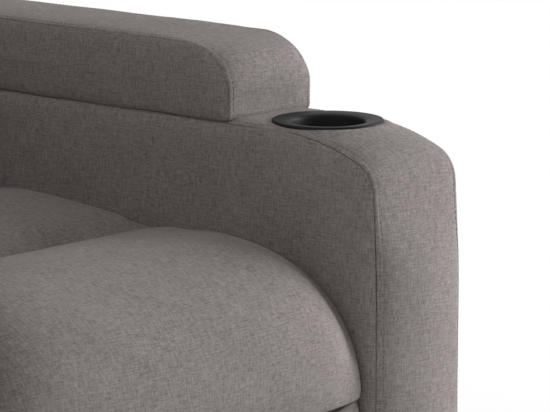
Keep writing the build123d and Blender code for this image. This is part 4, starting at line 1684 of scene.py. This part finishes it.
@dataclass
class Seat:
    """Seat cushion: the big front roll, the channel across it and the section behind.

    Lengths back are from the seat's front, and the knots are the front roll's points from its low edge up.
    Towards the sides the top drops and the front is drawn back. Each hold is a pair of distances between
    which the cover's hold changes.
    """

    work: Piecework
    half: float = 0.2463
    widest: float = 0.2482
    crown: float = 0.4995
    lip: float = 0.3465
    low_edge: float = 0.3360
    side_lift: float = 0.0015
    base: float = 0.3523
    channel: float = 0.284
    channel_height: float = 0.471
    rear: float = 0.528
    side_drop: float = 0.026
    side_draw: float = 0.025
    end_radius: float = 0.0032
    low_knot: Knot = Knot(back=0.0215, draw=0.3)
    lip_knot: Knot = Knot(back=0.0134, draw=0.45)
    bulge_knot: Knot = Knot(back=0.0, draw=1.08)
    shoulder_knot: Knot = Knot(back=0.0344, draw=1.53)
    top_knot: Knot = Knot(back=0.1296, draw=1.24)
    shoulder_fall: float = 0.0365
    bulge_rise: float = 0.325
    bulge_loss: float = 0.10
    crest_rise: float = 0.0085
    heel_fall: float = 0.0055
    under: float = 0.080
    under_tuck: float = 0.006
    lip_heading: tuple[float, float] = (-1.0, 0.35)
    channel_heading: tuple[float, float] = (1.0, -0.35)
    low_inset: float = 0.35
    low_fade: tuple[float, float] = (0.002, 0.032)
    channel_hold: tuple[float, float] = (0.003, 0.022)
    base_hold: tuple[float, float] = (0.002, 0.020)
    base_start: tuple[float, float] = (0.016, 0.030)
    lip_hold: tuple[float, float] = (0.003, 0.010)
    rear_hold: tuple[float, float] = (0.020, 0.002)
    filling: Filling = Filling(room=0.009, cap=0.024, slack=0.001, broad=0.08)
    dents: Dents = Dents(0.0008, 0.11, 31.0)
    straps: int = 4
    strap_width: float = 0.052
    strap_thickness: float = 0.0016
    strap_edge: float = 0.0005
    strap_sag: float = 0.0012
    strap_gap: float = 0.0002

    def outline(self, station: float) -> Points:
        """Closed side outline at a station.

        Args:
            station: Share of the half width.

        Returns:
            Points from the lip over the top and back along the underside.
        """
        aside = near_side(station)
        drop = self.side_drop * aside
        draw = self.side_draw * aside
        beyond = max(abs(station) * self.half - self.half + self.end_radius, 0.0) / self.end_radius
        inset = self.end_radius * (1 - (1 - min(beyond, 1.0) ** 2) ** 0.5)
        low = (self.low_knot.at(draw), self.low_edge + self.side_lift * aside)
        lip = (self.lip_knot.at(draw), self.lip)
        shoulder = (self.shoulder_knot.at(draw), self.crown - self.shoulder_fall - drop)
        rise = self.bulge_rise - self.bulge_loss * aside
        bulge = (self.bulge_knot.at(draw), self.lip + rise * (shoulder[1] - self.lip))
        top = (self.top_knot.at(draw), self.crown - drop)
        valley = (SEAT_FRONT + self.channel, self.channel_height)
        knots = np.array([low, lip, bulge, shoulder, top, valley])
        roll = fair_curve(knots, self.lip_heading, self.channel_heading, 64)
        crest = (SEAT_FRONT + (self.channel + self.rear) / 2, self.crown + self.crest_rise - drop)
        heel = (SEAT_FRONT + self.rear, self.crown - self.heel_fall - drop / 2)
        behind = arc_through(valley, crest, heel, 30)
        under = SEAT_FRONT + self.under
        back = line(heel, (heel[0], self.base), 10)
        floor = line(back[-1], (under, self.base), 24)
        tuck = line(floor[-1], (under - self.under_tuck, self.lip), 2)
        fold = line(tuck[-1], low, 6)
        loop = chain(roll, behind, back, floor, tuck, fold)
        ahead = np.roll(loop[:-1], -1, axis=0) - np.roll(loop[:-1], 1, axis=0)
        ahead /= np.linalg.norm(ahead, axis=1, keepdims=True)
        start, full = self.low_fade
        risen = ramp(loop[:-1, 1], self.low_edge + start, self.low_edge + full)
        share = self.low_inset + (1 - self.low_inset) * risen
        drawn = loop[:-1] + inset * share[:, None] * np.column_stack([ahead[:, 1], -ahead[:, 0]])
        return np.concatenate([drawn, drawn[:1]])

    def sewn(self, points: Points) -> Points:
        """How firmly each point of the cover is held: along the channel, below, behind and at its ends.

        Args:
            points: Places of the cover's points.

        Returns:
            Shares from 0 to 1.
        """
        _, back, height = points.T
        rear = SEAT_FRONT + self.rear
        channel = 1 - ramp(np.abs(back - SEAT_FRONT - self.channel), *self.channel_hold)
        below = 1 - ramp(height, self.base + self.base_hold[0], self.base + self.base_hold[1])
        below *= ramp(back, SEAT_FRONT + self.base_start[0], SEAT_FRONT + self.base_start[1])
        lip = 1 - ramp(height, self.low_edge + self.lip_hold[0], self.lip + self.lip_hold[1])
        behind = ramp(back, rear - self.rear_hold[0], rear - self.rear_hold[1])
        ends = held_ends(points, self.half)
        return np.maximum.reduce([channel, below, lip, behind, ends])

    def build(self) -> None:
        """Build the cushion."""
        rim = rim_stations(self.end_radius, self.half, (0.04, 0.14, 0.32, 0.6))
        piece = lay_roll("seat_cushion_cover", stations_across(55, rim), self.outline, self.half)
        self.filling.swell(piece, self.sewn(places(piece)))
        points = places(piece)
        points[:, 0] = np.clip(points[:, 0], -self.widest, self.widest)
        place_points(piece, points)
        finish_cushion(piece, self.dents)
        self.work.fit(piece, self.work.finishes.cover, Body.BASE, Slot.FABRIC, ["seat_cushion"], 0.9)
        self.build_straps()

    def build_straps(self) -> None:
        """Build the webbing straps under the cushion."""
        low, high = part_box("seat_straps")
        pitch = (high.x - low.x - self.strap_width) / (self.straps - 1)
        straps = []
        for index in range(self.straps):
            edge = low.x + index * pitch
            across = np.linspace(edge, edge + self.strap_width, 9)
            along = np.linspace(low.y, high.y, 61)
            sheet = np.zeros((len(along), len(across), 3))
            sheet[:, :, 0] = across
            sheet[:, :, 1] = along[:, None]
            middle = np.sin(np.linspace(0.0, pi, len(along)))
            sheet[:, :, 2] = high.z - self.strap_gap - self.strap_sag * middle[:, None]
            straps.append(lay_grid("seat_strap_webbing", sheet, sheet[:, :, :2]))
        webbing = join(straps)
        finish_with(webbing, "SOLIDIFY", thickness=self.strap_thickness, offset=-1.0)
        finish_with(webbing, "BEVEL", width=self.strap_edge, segments=2)
        smooth(webbing, 40.0)
        self.work.fit(webbing, self.work.finishes.webbing, Body.BASE, Slot.WEBBING, ["seat_straps"])


@dataclass
class Footrest:
    """Footrest pad, with its sewn edge."""

    work: Piecework
    half: float = 0.2465
    low: float = 0.103
    high: float = 0.3356
    top_swell: float = 0.0010
    depth: float = 0.055
    shoulder: float = 0.036
    side_draw: float = 0.0105
    side_tuck: float = 0.004
    side_rise: float = 0.0030
    crest_ahead: float = 0.002
    front_heading: tuple[float, float] = (0.45, 1.0)
    rear_heading: tuple[float, float] = (0.6, -1.0)
    rear_hold: tuple[float, float] = (0.026, 0.004)
    filling: Filling = Filling(room=0.008, cap=0.022, broad=0.3)
    dents: Dents = Dents(0.0008, 0.09, 41.0)

    def outline(self, station: float) -> Points:
        """Closed side outline at a station.

        Args:
            station: Share of the half width.

        Returns:
            Points up the front and down the back.
        """
        aside = near_side(station)
        low = self.low + self.side_tuck * aside
        high = self.high + self.side_rise * aside
        draw = self.side_draw * aside
        base = SEAT_FRONT + self.depth
        edge = base - self.shoulder + draw
        face = arc_through((edge, low), (SEAT_FRONT + draw, (low + high) / 2), (edge, high), 40)
        crest = ((edge + base) / 2 - self.crest_ahead, high + self.top_swell * (1 - aside))
        knots = np.array([face[-1], crest, (base, high)])
        top = fair_curve(knots, self.front_heading, self.rear_heading, 10)
        back = line(top[-1], (base, low), 24)
        under = line(back[-1], (edge, low), 8)
        return chain(face, top, back, under)

    def sewn(self, points: Points) -> Points:
        """How firmly each point of the cover is held: behind and at its ends.

        Args:
            points: Places of the cover's points.

        Returns:
            Shares from 0 to 1.
        """
        base = SEAT_FRONT + self.depth
        behind = ramp(points[:, 1], base - self.rear_hold[0], base - self.rear_hold[1])
        return np.maximum(behind, held_ends(points, self.half))

    def build(self) -> None:
        """Build the pad."""
        piece = lay_roll("footrest_pad_cover", stations_across(57), self.outline, self.half)
        self.filling.swell(piece, self.sewn(places(piece)))
        finish_cushion(piece, self.dents)
        self.work.fit(piece, self.work.finishes.cover, Body.FOOTREST, Slot.FABRIC, ["footrest_pad"], 0.9)


@dataclass(frozen=True)
class RollSize:
    """Place of a back roll along the back, how deep it stands, and its dents."""

    node: str
    low: float
    high: float
    depth: float
    dents: Dents


def on_back(flat: Points) -> Points:
    """Y and Z of points given by their distance behind the back's plane and height along it."""
    out, up = flat[:, 0], flat[:, 1]
    return np.column_stack(
        [
            HINGE_Y + out * cos(BACK_LEAN) + up * sin(BACK_LEAN),
            HINGE_Z - out * sin(BACK_LEAN) + up * cos(BACK_LEAN),
        ]
    )


def behind_back(points: Points) -> Points:
    """How far each place lies behind the back's plane, less than nothing in front of it."""
    return (points[:, 1] - HINGE_Y) * cos(BACK_LEAN) - (points[:, 2] - HINGE_Z) * sin(BACK_LEAN)


@dataclass
class Backrest:
    """Backrest: three padded rolls and the padded cover behind them.

    Heights are along the back from its hinge, and depths are out of its plane. The stitched numbers are the
    first point of the cover's outline that is sewn and the one after the last.
    """

    work: Piecework
    half: float = 0.245
    side_draw: float = 0.034
    side_tuck: float = 0.007
    shoulder: float = 0.068
    board_gap: float = 0.0003
    rear_hold: tuple[float, float] = (-0.085, -0.060)
    filling: Filling = Filling(room=0.013, cap=0.026, slack=0.004)
    cover_half: float = 0.246
    cover_low: float = 0.040
    cover_high: float = 0.735
    cover_depth: float = 0.070
    cover_corner: float = 0.045
    cover_edge: float = 0.018
    cover_brow: float = 0.012
    brow_ease: float = 0.0035
    cover_foot: float = 0.014
    foot_ease: float = 0.0041
    seam_line: float = 0.219
    seam_depth: float = 0.0016
    seam_width: float = 0.0016
    seam_step: float = 0.001
    stitch_gap: float = 0.0055
    stitched: tuple[int, int] = (30, 84)
    cover_dents: Dents = Dents(0.0011, 0.14, 71.0)
    rolls: tuple[RollSize, ...] = (
        RollSize("lumbar_cushion", 0.058, 0.266, 0.150, Dents(0.0012, 0.10, 51.0)),
        RollSize("back_cushion", 0.268, 0.476, 0.140, Dents(0.0012, 0.10, 58.0)),
        RollSize("headrest_cushion", 0.478, 0.713, 0.146, Dents(0.0012, 0.10, 65.0)),
    )

    def roll_outline(self, size: RollSize, station: float) -> Points:
        """Closed outline of a roll at a station.

        Args:
            size: The roll.
            station: Share of the half width.

        Returns:
            Points up the front and down the back, in the chair's frame.
        """
        aside = near_side(station)
        tuck = self.side_tuck * aside
        depth = size.depth - self.side_draw * aside
        shoulder = depth - self.shoulder
        low, high = size.low + tuck, size.high - tuck
        face = arc_through((-shoulder, low), (-depth, (low + high) / 2), (-shoulder, high), 44)
        top = line(face[-1], (-self.board_gap, high), 10)
        back = line(top[-1], (-self.board_gap, low), 20)
        under = line(back[-1], face[0], 10)
        return on_back(chain(face, top, back, under))

    def cover_outline(self, station: float) -> Points:
        """Closed outline of the rear cover at a station, with its seam drawn in.

        Args:
            station: Share of the half width.

        Returns:
            Points up the front and down the back, in the chair's frame.
        """
        aside = abs(station) * self.cover_half
        beyond = max(aside - (self.cover_half - self.cover_edge), 0.0) / self.cover_edge
        draw = self.cover_edge * (1 - (1 - min(beyond, 1.0) ** 2) ** 0.5)
        draw += self.seam_depth * float(np.exp(-(((aside - self.seam_line) / self.seam_width) ** 2)))
        depth = self.cover_depth - draw
        high = self.cover_high - draw / 2
        corner = self.cover_corner - draw / 2
        low, brow, foot = self.cover_low, self.cover_brow, self.cover_foot
        front = line((0.0, low), (0.0, high - brow), 24)
        lead = arc_through(front[-1], (self.brow_ease, high - self.brow_ease), (brow, high), 4)
        head = line(lead[-1], (depth - corner, high), 3)
        turn = corner * CORNER_EASE
        bend = arc_through(head[-1], (depth - turn, high - turn), (depth, high - corner), 10)
        fall = line(bend[-1], (depth, low + foot), 40)
        tuck = arc_through(fall[-1], (depth - self.foot_ease, low + self.foot_ease), (depth - foot, low), 5)
        under = line(tuck[-1], (0.0, low), 4)
        return on_back(chain(front, lead, head, bend, fall, tuck, under))

    def build(self) -> None:
        """Build the rolls and the rear cover."""
        for size in self.rolls:
            self.build_roll(size)
        self.build_cover()

    def build_roll(self, size: RollSize) -> None:
        """Build one roll.

        Args:
            size: The roll.
        """
        outline = partial(self.roll_outline, size)
        piece = lay_roll(size.node + "_cover", stations_across(53), outline, self.half)
        points = places(piece)
        behind = ramp(behind_back(points), *self.rear_hold)
        self.filling.swell(piece, np.maximum(behind, held_ends(points, self.half)))
        finish_cushion(piece, size.dents)
        self.work.fit(piece, self.work.finishes.cover, Body.BACKREST, Slot.FABRIC, [size.node], 0.9)

    def build_cover(self) -> None:
        """Build the padded rear cover, with a sewn seam down each side."""
        seam = self.seam_line / self.cover_half
        close = [seam + step * self.seam_step / self.cover_half for step in range(-3, 4)]
        rim = rim_stations(self.cover_edge, self.cover_half, (0.03, 0.1, 0.22, 0.4, 0.65))
        stations = stations_across(25, close + rim)
        piece = lay_roll("back_cover_upholstery", stations, self.cover_outline, self.cover_half)
        self.cover_dents.press(piece)
        smooth(piece, 55.0)
        self.work.fit(piece, self.work.finishes.cover, Body.BACKREST, Slot.FABRIC, ["back_cover"], 0.6)
        seams = []
        for side in reversed(Side):
            aside = side.value * (self.seam_line - self.stitch_gap)
            run = self.cover_outline(aside / self.cover_half)[slice(*self.stitched)]
            seams.append(np.column_stack([np.full(len(run), aside), run]))
        stitches = run_stitches("back_cover_stitches", seams)
        self.work.fit(stitches, self.work.finishes.thread, Body.BACKREST, Slot.FABRIC)


# Sewn trim


@dataclass
class Trim:
    """Small sewn pieces: the skirt across the rear and the pocket on the sitter's left.

    The pocket's cloth has body_rows even rows of points below its hem, and hem_rows are the heights of the
    close rows where the hem starts. The stitches lie at stitch_offset from one of these, stitch_row, and
    leave out its unsewn points at each end.
    """

    work: Piecework
    inlet_hole: float = 0.0074
    skirt_edge: float = 0.0022
    hem: float = 0.013
    hem_proud: float = 0.0006
    pocket_bend: float = 0.006
    pocket_gap: float = 0.0004
    pocket_swell: float = 0.0016
    pocket_cloth: float = 0.0016
    body_rows: int = 22
    hem_rows: tuple[float, ...] = (-0.001, 0.0, 0.0006, 0.002)
    stitch_row: int = 2
    unsewn: int = 8
    stitch_offset: tuple[float, float, float] = (0.0003, 0.0, -0.0022)

    def build(self) -> None:
        """Build the rear skirt and the side pocket."""
        self.build_skirt()
        self.build_pocket()

    def build_skirt(self) -> None:
        """Build the fabric-covered rear skirt, with its hole for the power inlet."""
        low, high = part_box("rear_skirt")
        inlet_low, inlet_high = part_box("power_inlet")
        middle = (inlet_low + inlet_high) / 2
        bpy.ops.object.select_all(action="DESELECT")
        bpy.ops.mesh.primitive_cube_add(size=1.0, location=(low + high) / 2, scale=high - low)
        skirt = take_new("rear_skirt_cover")
        bpy.ops.object.transform_apply(location=True, rotation=True, scale=True)
        bpy.ops.mesh.primitive_cylinder_add(
            vertices=64, radius=self.inlet_hole, depth=0.05, location=middle, rotation=(pi / 2, 0.0, 0.0)
        )
        drill = bpy.context.active_object
        finish_with(skirt, "BEVEL", width=self.skirt_edge, segments=4)
        finish_with(skirt, "BOOLEAN", operation="DIFFERENCE", object=drill, solver="EXACT")
        bpy.data.objects.remove(drill)
        lay_weave(skirt, places(skirt)[:, [0, 2]])
        smooth(skirt, 40.0)
        self.work.fit(skirt, self.work.finishes.cover, Body.BASE, Slot.FABRIC, ["rear_skirt"], 0.3)

    def build_pocket(self) -> None:
        """Build the open-topped pocket, with a turned hem."""
        low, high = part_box("side_pocket")
        bend = self.pocket_bend
        ease = 0.3 * bend
        out = high.x - self.pocket_gap
        ahead = line((low.x, low.y), (out - bend, low.y), 4)
        face = chain(
            arc_through((out - bend, low.y), (out - ease, low.y + ease), (out, low.y + bend), 6),
            line((out, low.y + bend), (out, high.y - bend), 40),
            arc_through((out, high.y - bend), (out - ease, high.y - ease), (out - bend, high.y), 6),
        )
        behind = line((out - bend, high.y), (low.x, high.y), 4)
        plan = chain(ahead, face, behind)
        fold = high.z - self.hem
        levels = np.concatenate(
            [
                np.linspace(low.z, fold - 0.002, self.body_rows),
                fold + np.array(self.hem_rows),
                np.linspace(fold + 0.005, high.z, 4),
            ]
        )
        sheet = np.zeros((len(levels), len(plan), 3))
        sheet[:, :, :2] = plan
        sheet[:, :, 2] = levels[:, None]
        middle = ramp(plan[:, 0], low.x, out) * np.sin(np.linspace(0.0, pi, len(plan)))
        belly = np.sin(np.clip((levels - low.z) / (high.z - low.z), 0.0, 1.0) * pi) ** 0.7
        hemmed = self.hem_proud * ramp(levels, fold - 0.0005, fold + 0.0006)
        sheet[:, :, 0] += middle * (self.pocket_swell * belly + hemmed)[:, None]
        weave = np.stack([np.repeat(lengths(plan)[None], len(levels), axis=0), sheet[:, :, 2]], axis=2)
        wall = lay_grid("side_pocket_cloth", sheet, weave)
        floor = fill_between(ahead, face, behind, line(plan[-1], plan[0], len(face) - 1))
        flat = np.concatenate([floor, np.full(floor.shape[:2] + (1,), low.z)], axis=2)
        base = lay_grid("side_pocket_base", flat, floor)
        pocket = join([wall, base])
        finish_with(pocket, "SOLIDIFY", thickness=self.pocket_cloth, offset=-1.0)
        smooth(pocket, 50.0)
        self.work.fit(pocket, self.work.finishes.cover, Body.BASE, Slot.FABRIC, ["side_pocket"], 0.1)
        row = sheet[self.body_rows + self.stitch_row] + np.array(self.stitch_offset)
        stitches = run_stitches("side_pocket_stitches", [row[self.unsewn : -self.unsewn]])
        self.work.fit(stitches, self.work.finishes.thread, Body.BASE, Slot.FABRIC)


# Stage


@dataclass(frozen=True)
class Lamp:
    """A soft square lamp."""

    name: str
    place: tuple[float, float, float]
    power: float
    size: float


@dataclass
class Studio:
    """Camera, lights, floor and background.

    The camera's focal length is in the picture's pixels, and the cup's column and row are where the middle
    of its rim stands in the picture. The floor shows plain white from fade_end outwards.
    """

    azimuth: float = 47.5
    elevation: float = 10.4
    distance: float = 3.4
    focal: float = 3434.0
    width: int = 550
    height: int = 412
    cup_column: float = 328.0
    cup_row: float = 120.0
    rim_rise: float = 0.004
    sensor: float = 36.0
    farthest: float = 50.0
    fade_start: float = 0.8
    fade_end: float = 1.6
    paleness: float = 0.55
    floor_size: float = 14.0
    floor_tone: float = 0.86
    floor_roughness: float = 0.9
    ambient: float = 0.31
    ambient_tone: tuple[float, float, float, float] = (1.0, 0.99, 0.975, 1.0)
    aim: tuple[float, float, float] = (0.1, -0.15, 0.5)
    lamps: tuple[Lamp, ...] = (
        Lamp("key_light", (2.15, -1.3, 1.1), 50.0, 1.2),
        Lamp("fill_light", (-2.0, -0.6, 2.4), 10.0, 2.0),
        Lamp("rear_light", (-0.9, 2.6, 2.0), 22.0, 2.2),
    )

    def build(self) -> None:
        """Set the whole stage."""
        self.place_camera()
        self.light()
        self.floor()
        self.background()

    def place_camera(self) -> None:
        """Stand the camera so that the cup holder shows where the picture has it."""
        turn, rise = radians(self.azimuth), radians(self.elevation)
        right = Vector((cos(turn), -sin(turn), 0.0))
        up = Vector((sin(turn) * sin(rise), cos(turn) * sin(rise), cos(rise)))
        back = right.cross(up)
        cup = Vector((ARM_MID, CUP_Y, CUP_SEAT + self.rim_rise))
        scale = self.distance / self.focal
        aim = cup + right * ((self.width / 2 - self.cup_column) * scale)
        aim += up * ((self.cup_row - self.height / 2) * scale)
        bpy.ops.object.camera_add()
        camera = take_new("picture_camera")
        camera.matrix_world = Matrix(
            (
                (right.x, up.x, back.x, aim.x + back.x * self.distance),
                (right.y, up.y, back.y, aim.y + back.y * self.distance),
                (right.z, up.z, back.z, aim.z + back.z * self.distance),
                (0.0, 0.0, 0.0, 1.0),
            )
        )
        camera.data.sensor_width = self.sensor
        camera.data.lens = self.focal / self.width * self.sensor
        camera.data.clip_end = self.farthest
        bpy.context.scene.camera = camera

    def seen(self, desk: NodeDesk) -> Socket:
        """Mask of the rays that show a surface: straight to the camera, mirrored or through glass.

        Args:
            desk: Tree to add the nodes to.

        Returns:
            One for such a ray and nothing for the others.
        """
        path = desk.add("ShaderNodeLightPath")
        mirrored = desk.math("MAXIMUM", path.outputs["Is Camera Ray"], path.outputs["Is Glossy Ray"])
        return desk.math("MAXIMUM", mirrored, path.outputs["Is Transmission Ray"])

    def light(self) -> None:
        """Hang a big soft key at the sitter's front left, a weak fill at the right and a lamp behind."""
        for lamp in self.lamps:
            bpy.ops.object.light_add(type="AREA", location=lamp.place)
            light = take_new(lamp.name)
            light.data.energy = lamp.power
            light.data.size = lamp.size
            aim = Vector(self.aim) - Vector(lamp.place)
            light.rotation_euler = aim.to_track_quat("-Z", "Y").to_euler()

    def floor(self) -> None:
        """Lay a pale plain floor that keeps the chair's shadow."""
        bpy.ops.mesh.primitive_plane_add(size=self.floor_size)
        ground = take_new("studio_floor")
        material = bpy.data.materials.new("studio paper")
        material.use_nodes = True
        shader = material.node_tree.nodes["Principled BSDF"]
        shader.inputs["Base Color"].default_value = (*[self.floor_tone] * 3, 1.0)
        shader.inputs["Roughness"].default_value = self.floor_roughness
        desk = NodeDesk(material.node_tree)
        glow = desk.add("ShaderNodeEmission")
        place = desk.add("ShaderNodeTexCoord")
        reach = desk.add("ShaderNodeVectorMath", operation="LENGTH")
        fade = desk.add("ShaderNodeMapRange", interpolation_type="SMOOTHSTEP")
        fade.inputs["From Min"].default_value = self.fade_start
        fade.inputs["From Max"].default_value = self.fade_end
        fade.inputs["To Min"].default_value = self.paleness
        mix = desk.add("ShaderNodeMixShader")
        desk.link(place.outputs["Object"], reach.inputs[0])
        desk.link(reach.outputs["Value"], fade.inputs["Value"])
        seen = desk.math("MULTIPLY", fade.outputs["Result"], self.seen(desk))
        desk.link(seen, mix.inputs["Fac"])
        desk.link(shader.outputs["BSDF"], mix.inputs[1])
        desk.link(glow.outputs["Emission"], mix.inputs[2])
        desk.link(mix.outputs["Shader"], material.node_tree.nodes["Material Output"].inputs["Surface"])
        ground.data.materials.append(material)

    def background(self) -> None:
        """Show plain white behind the chair and keep the light around it soft."""
        scene = bpy.context.scene
        scene.view_settings.view_transform = "Standard"
        world = bpy.data.worlds.new("studio")
        scene.world = world
        world.use_nodes = True
        desk = NodeDesk(world.node_tree)
        plain = world.node_tree.nodes["Background"]
        plain.inputs["Color"].default_value = self.ambient_tone
        plain.inputs["Strength"].default_value = self.ambient
        white = desk.add("ShaderNodeBackground")
        white.inputs["Color"].default_value = (1.0, 1.0, 1.0, 1.0)
        mix = desk.add("ShaderNodeMixShader")
        desk.link(self.seen(desk), mix.inputs["Fac"])
        desk.link(plain.outputs["Background"], mix.inputs[1])
        desk.link(white.outputs["Background"], mix.inputs[2])
        desk.link(mix.outputs["Shader"], world.node_tree.nodes["World Output"].inputs["Surface"])


# The whole chair


def dress_hard_nodes(frame: dict, finishes: Finishes) -> None:
    """Give every visible node of the model its finish.

    Args:
        frame: The loaded frame.
        finishes: All the finishes.
    """
    looks = {slot.value: material for slot, material in finishes.by_slot().items()}
    for node in frame["nodes"].values():
        for place in node.material_slots:
            name = place.material.name.split(".")[0] if place.material else ""
            if name in looks:
                place.material = looks[name]


def main() -> None:
    """Load the frame, build every piece and set the stage."""
    logging.basicConfig(level=logging.INFO, format="%(name)s: %(message)s")
    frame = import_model()
    finishes = Finishes()
    work = Piecework(finishes)
    dress_hard_nodes(frame, finishes)
    for group in (Arms(work), Seat(work), Footrest(work), Backrest(work), Trim(work), Studio()):
        group.build()


if __name__ == "__main__":
    main()
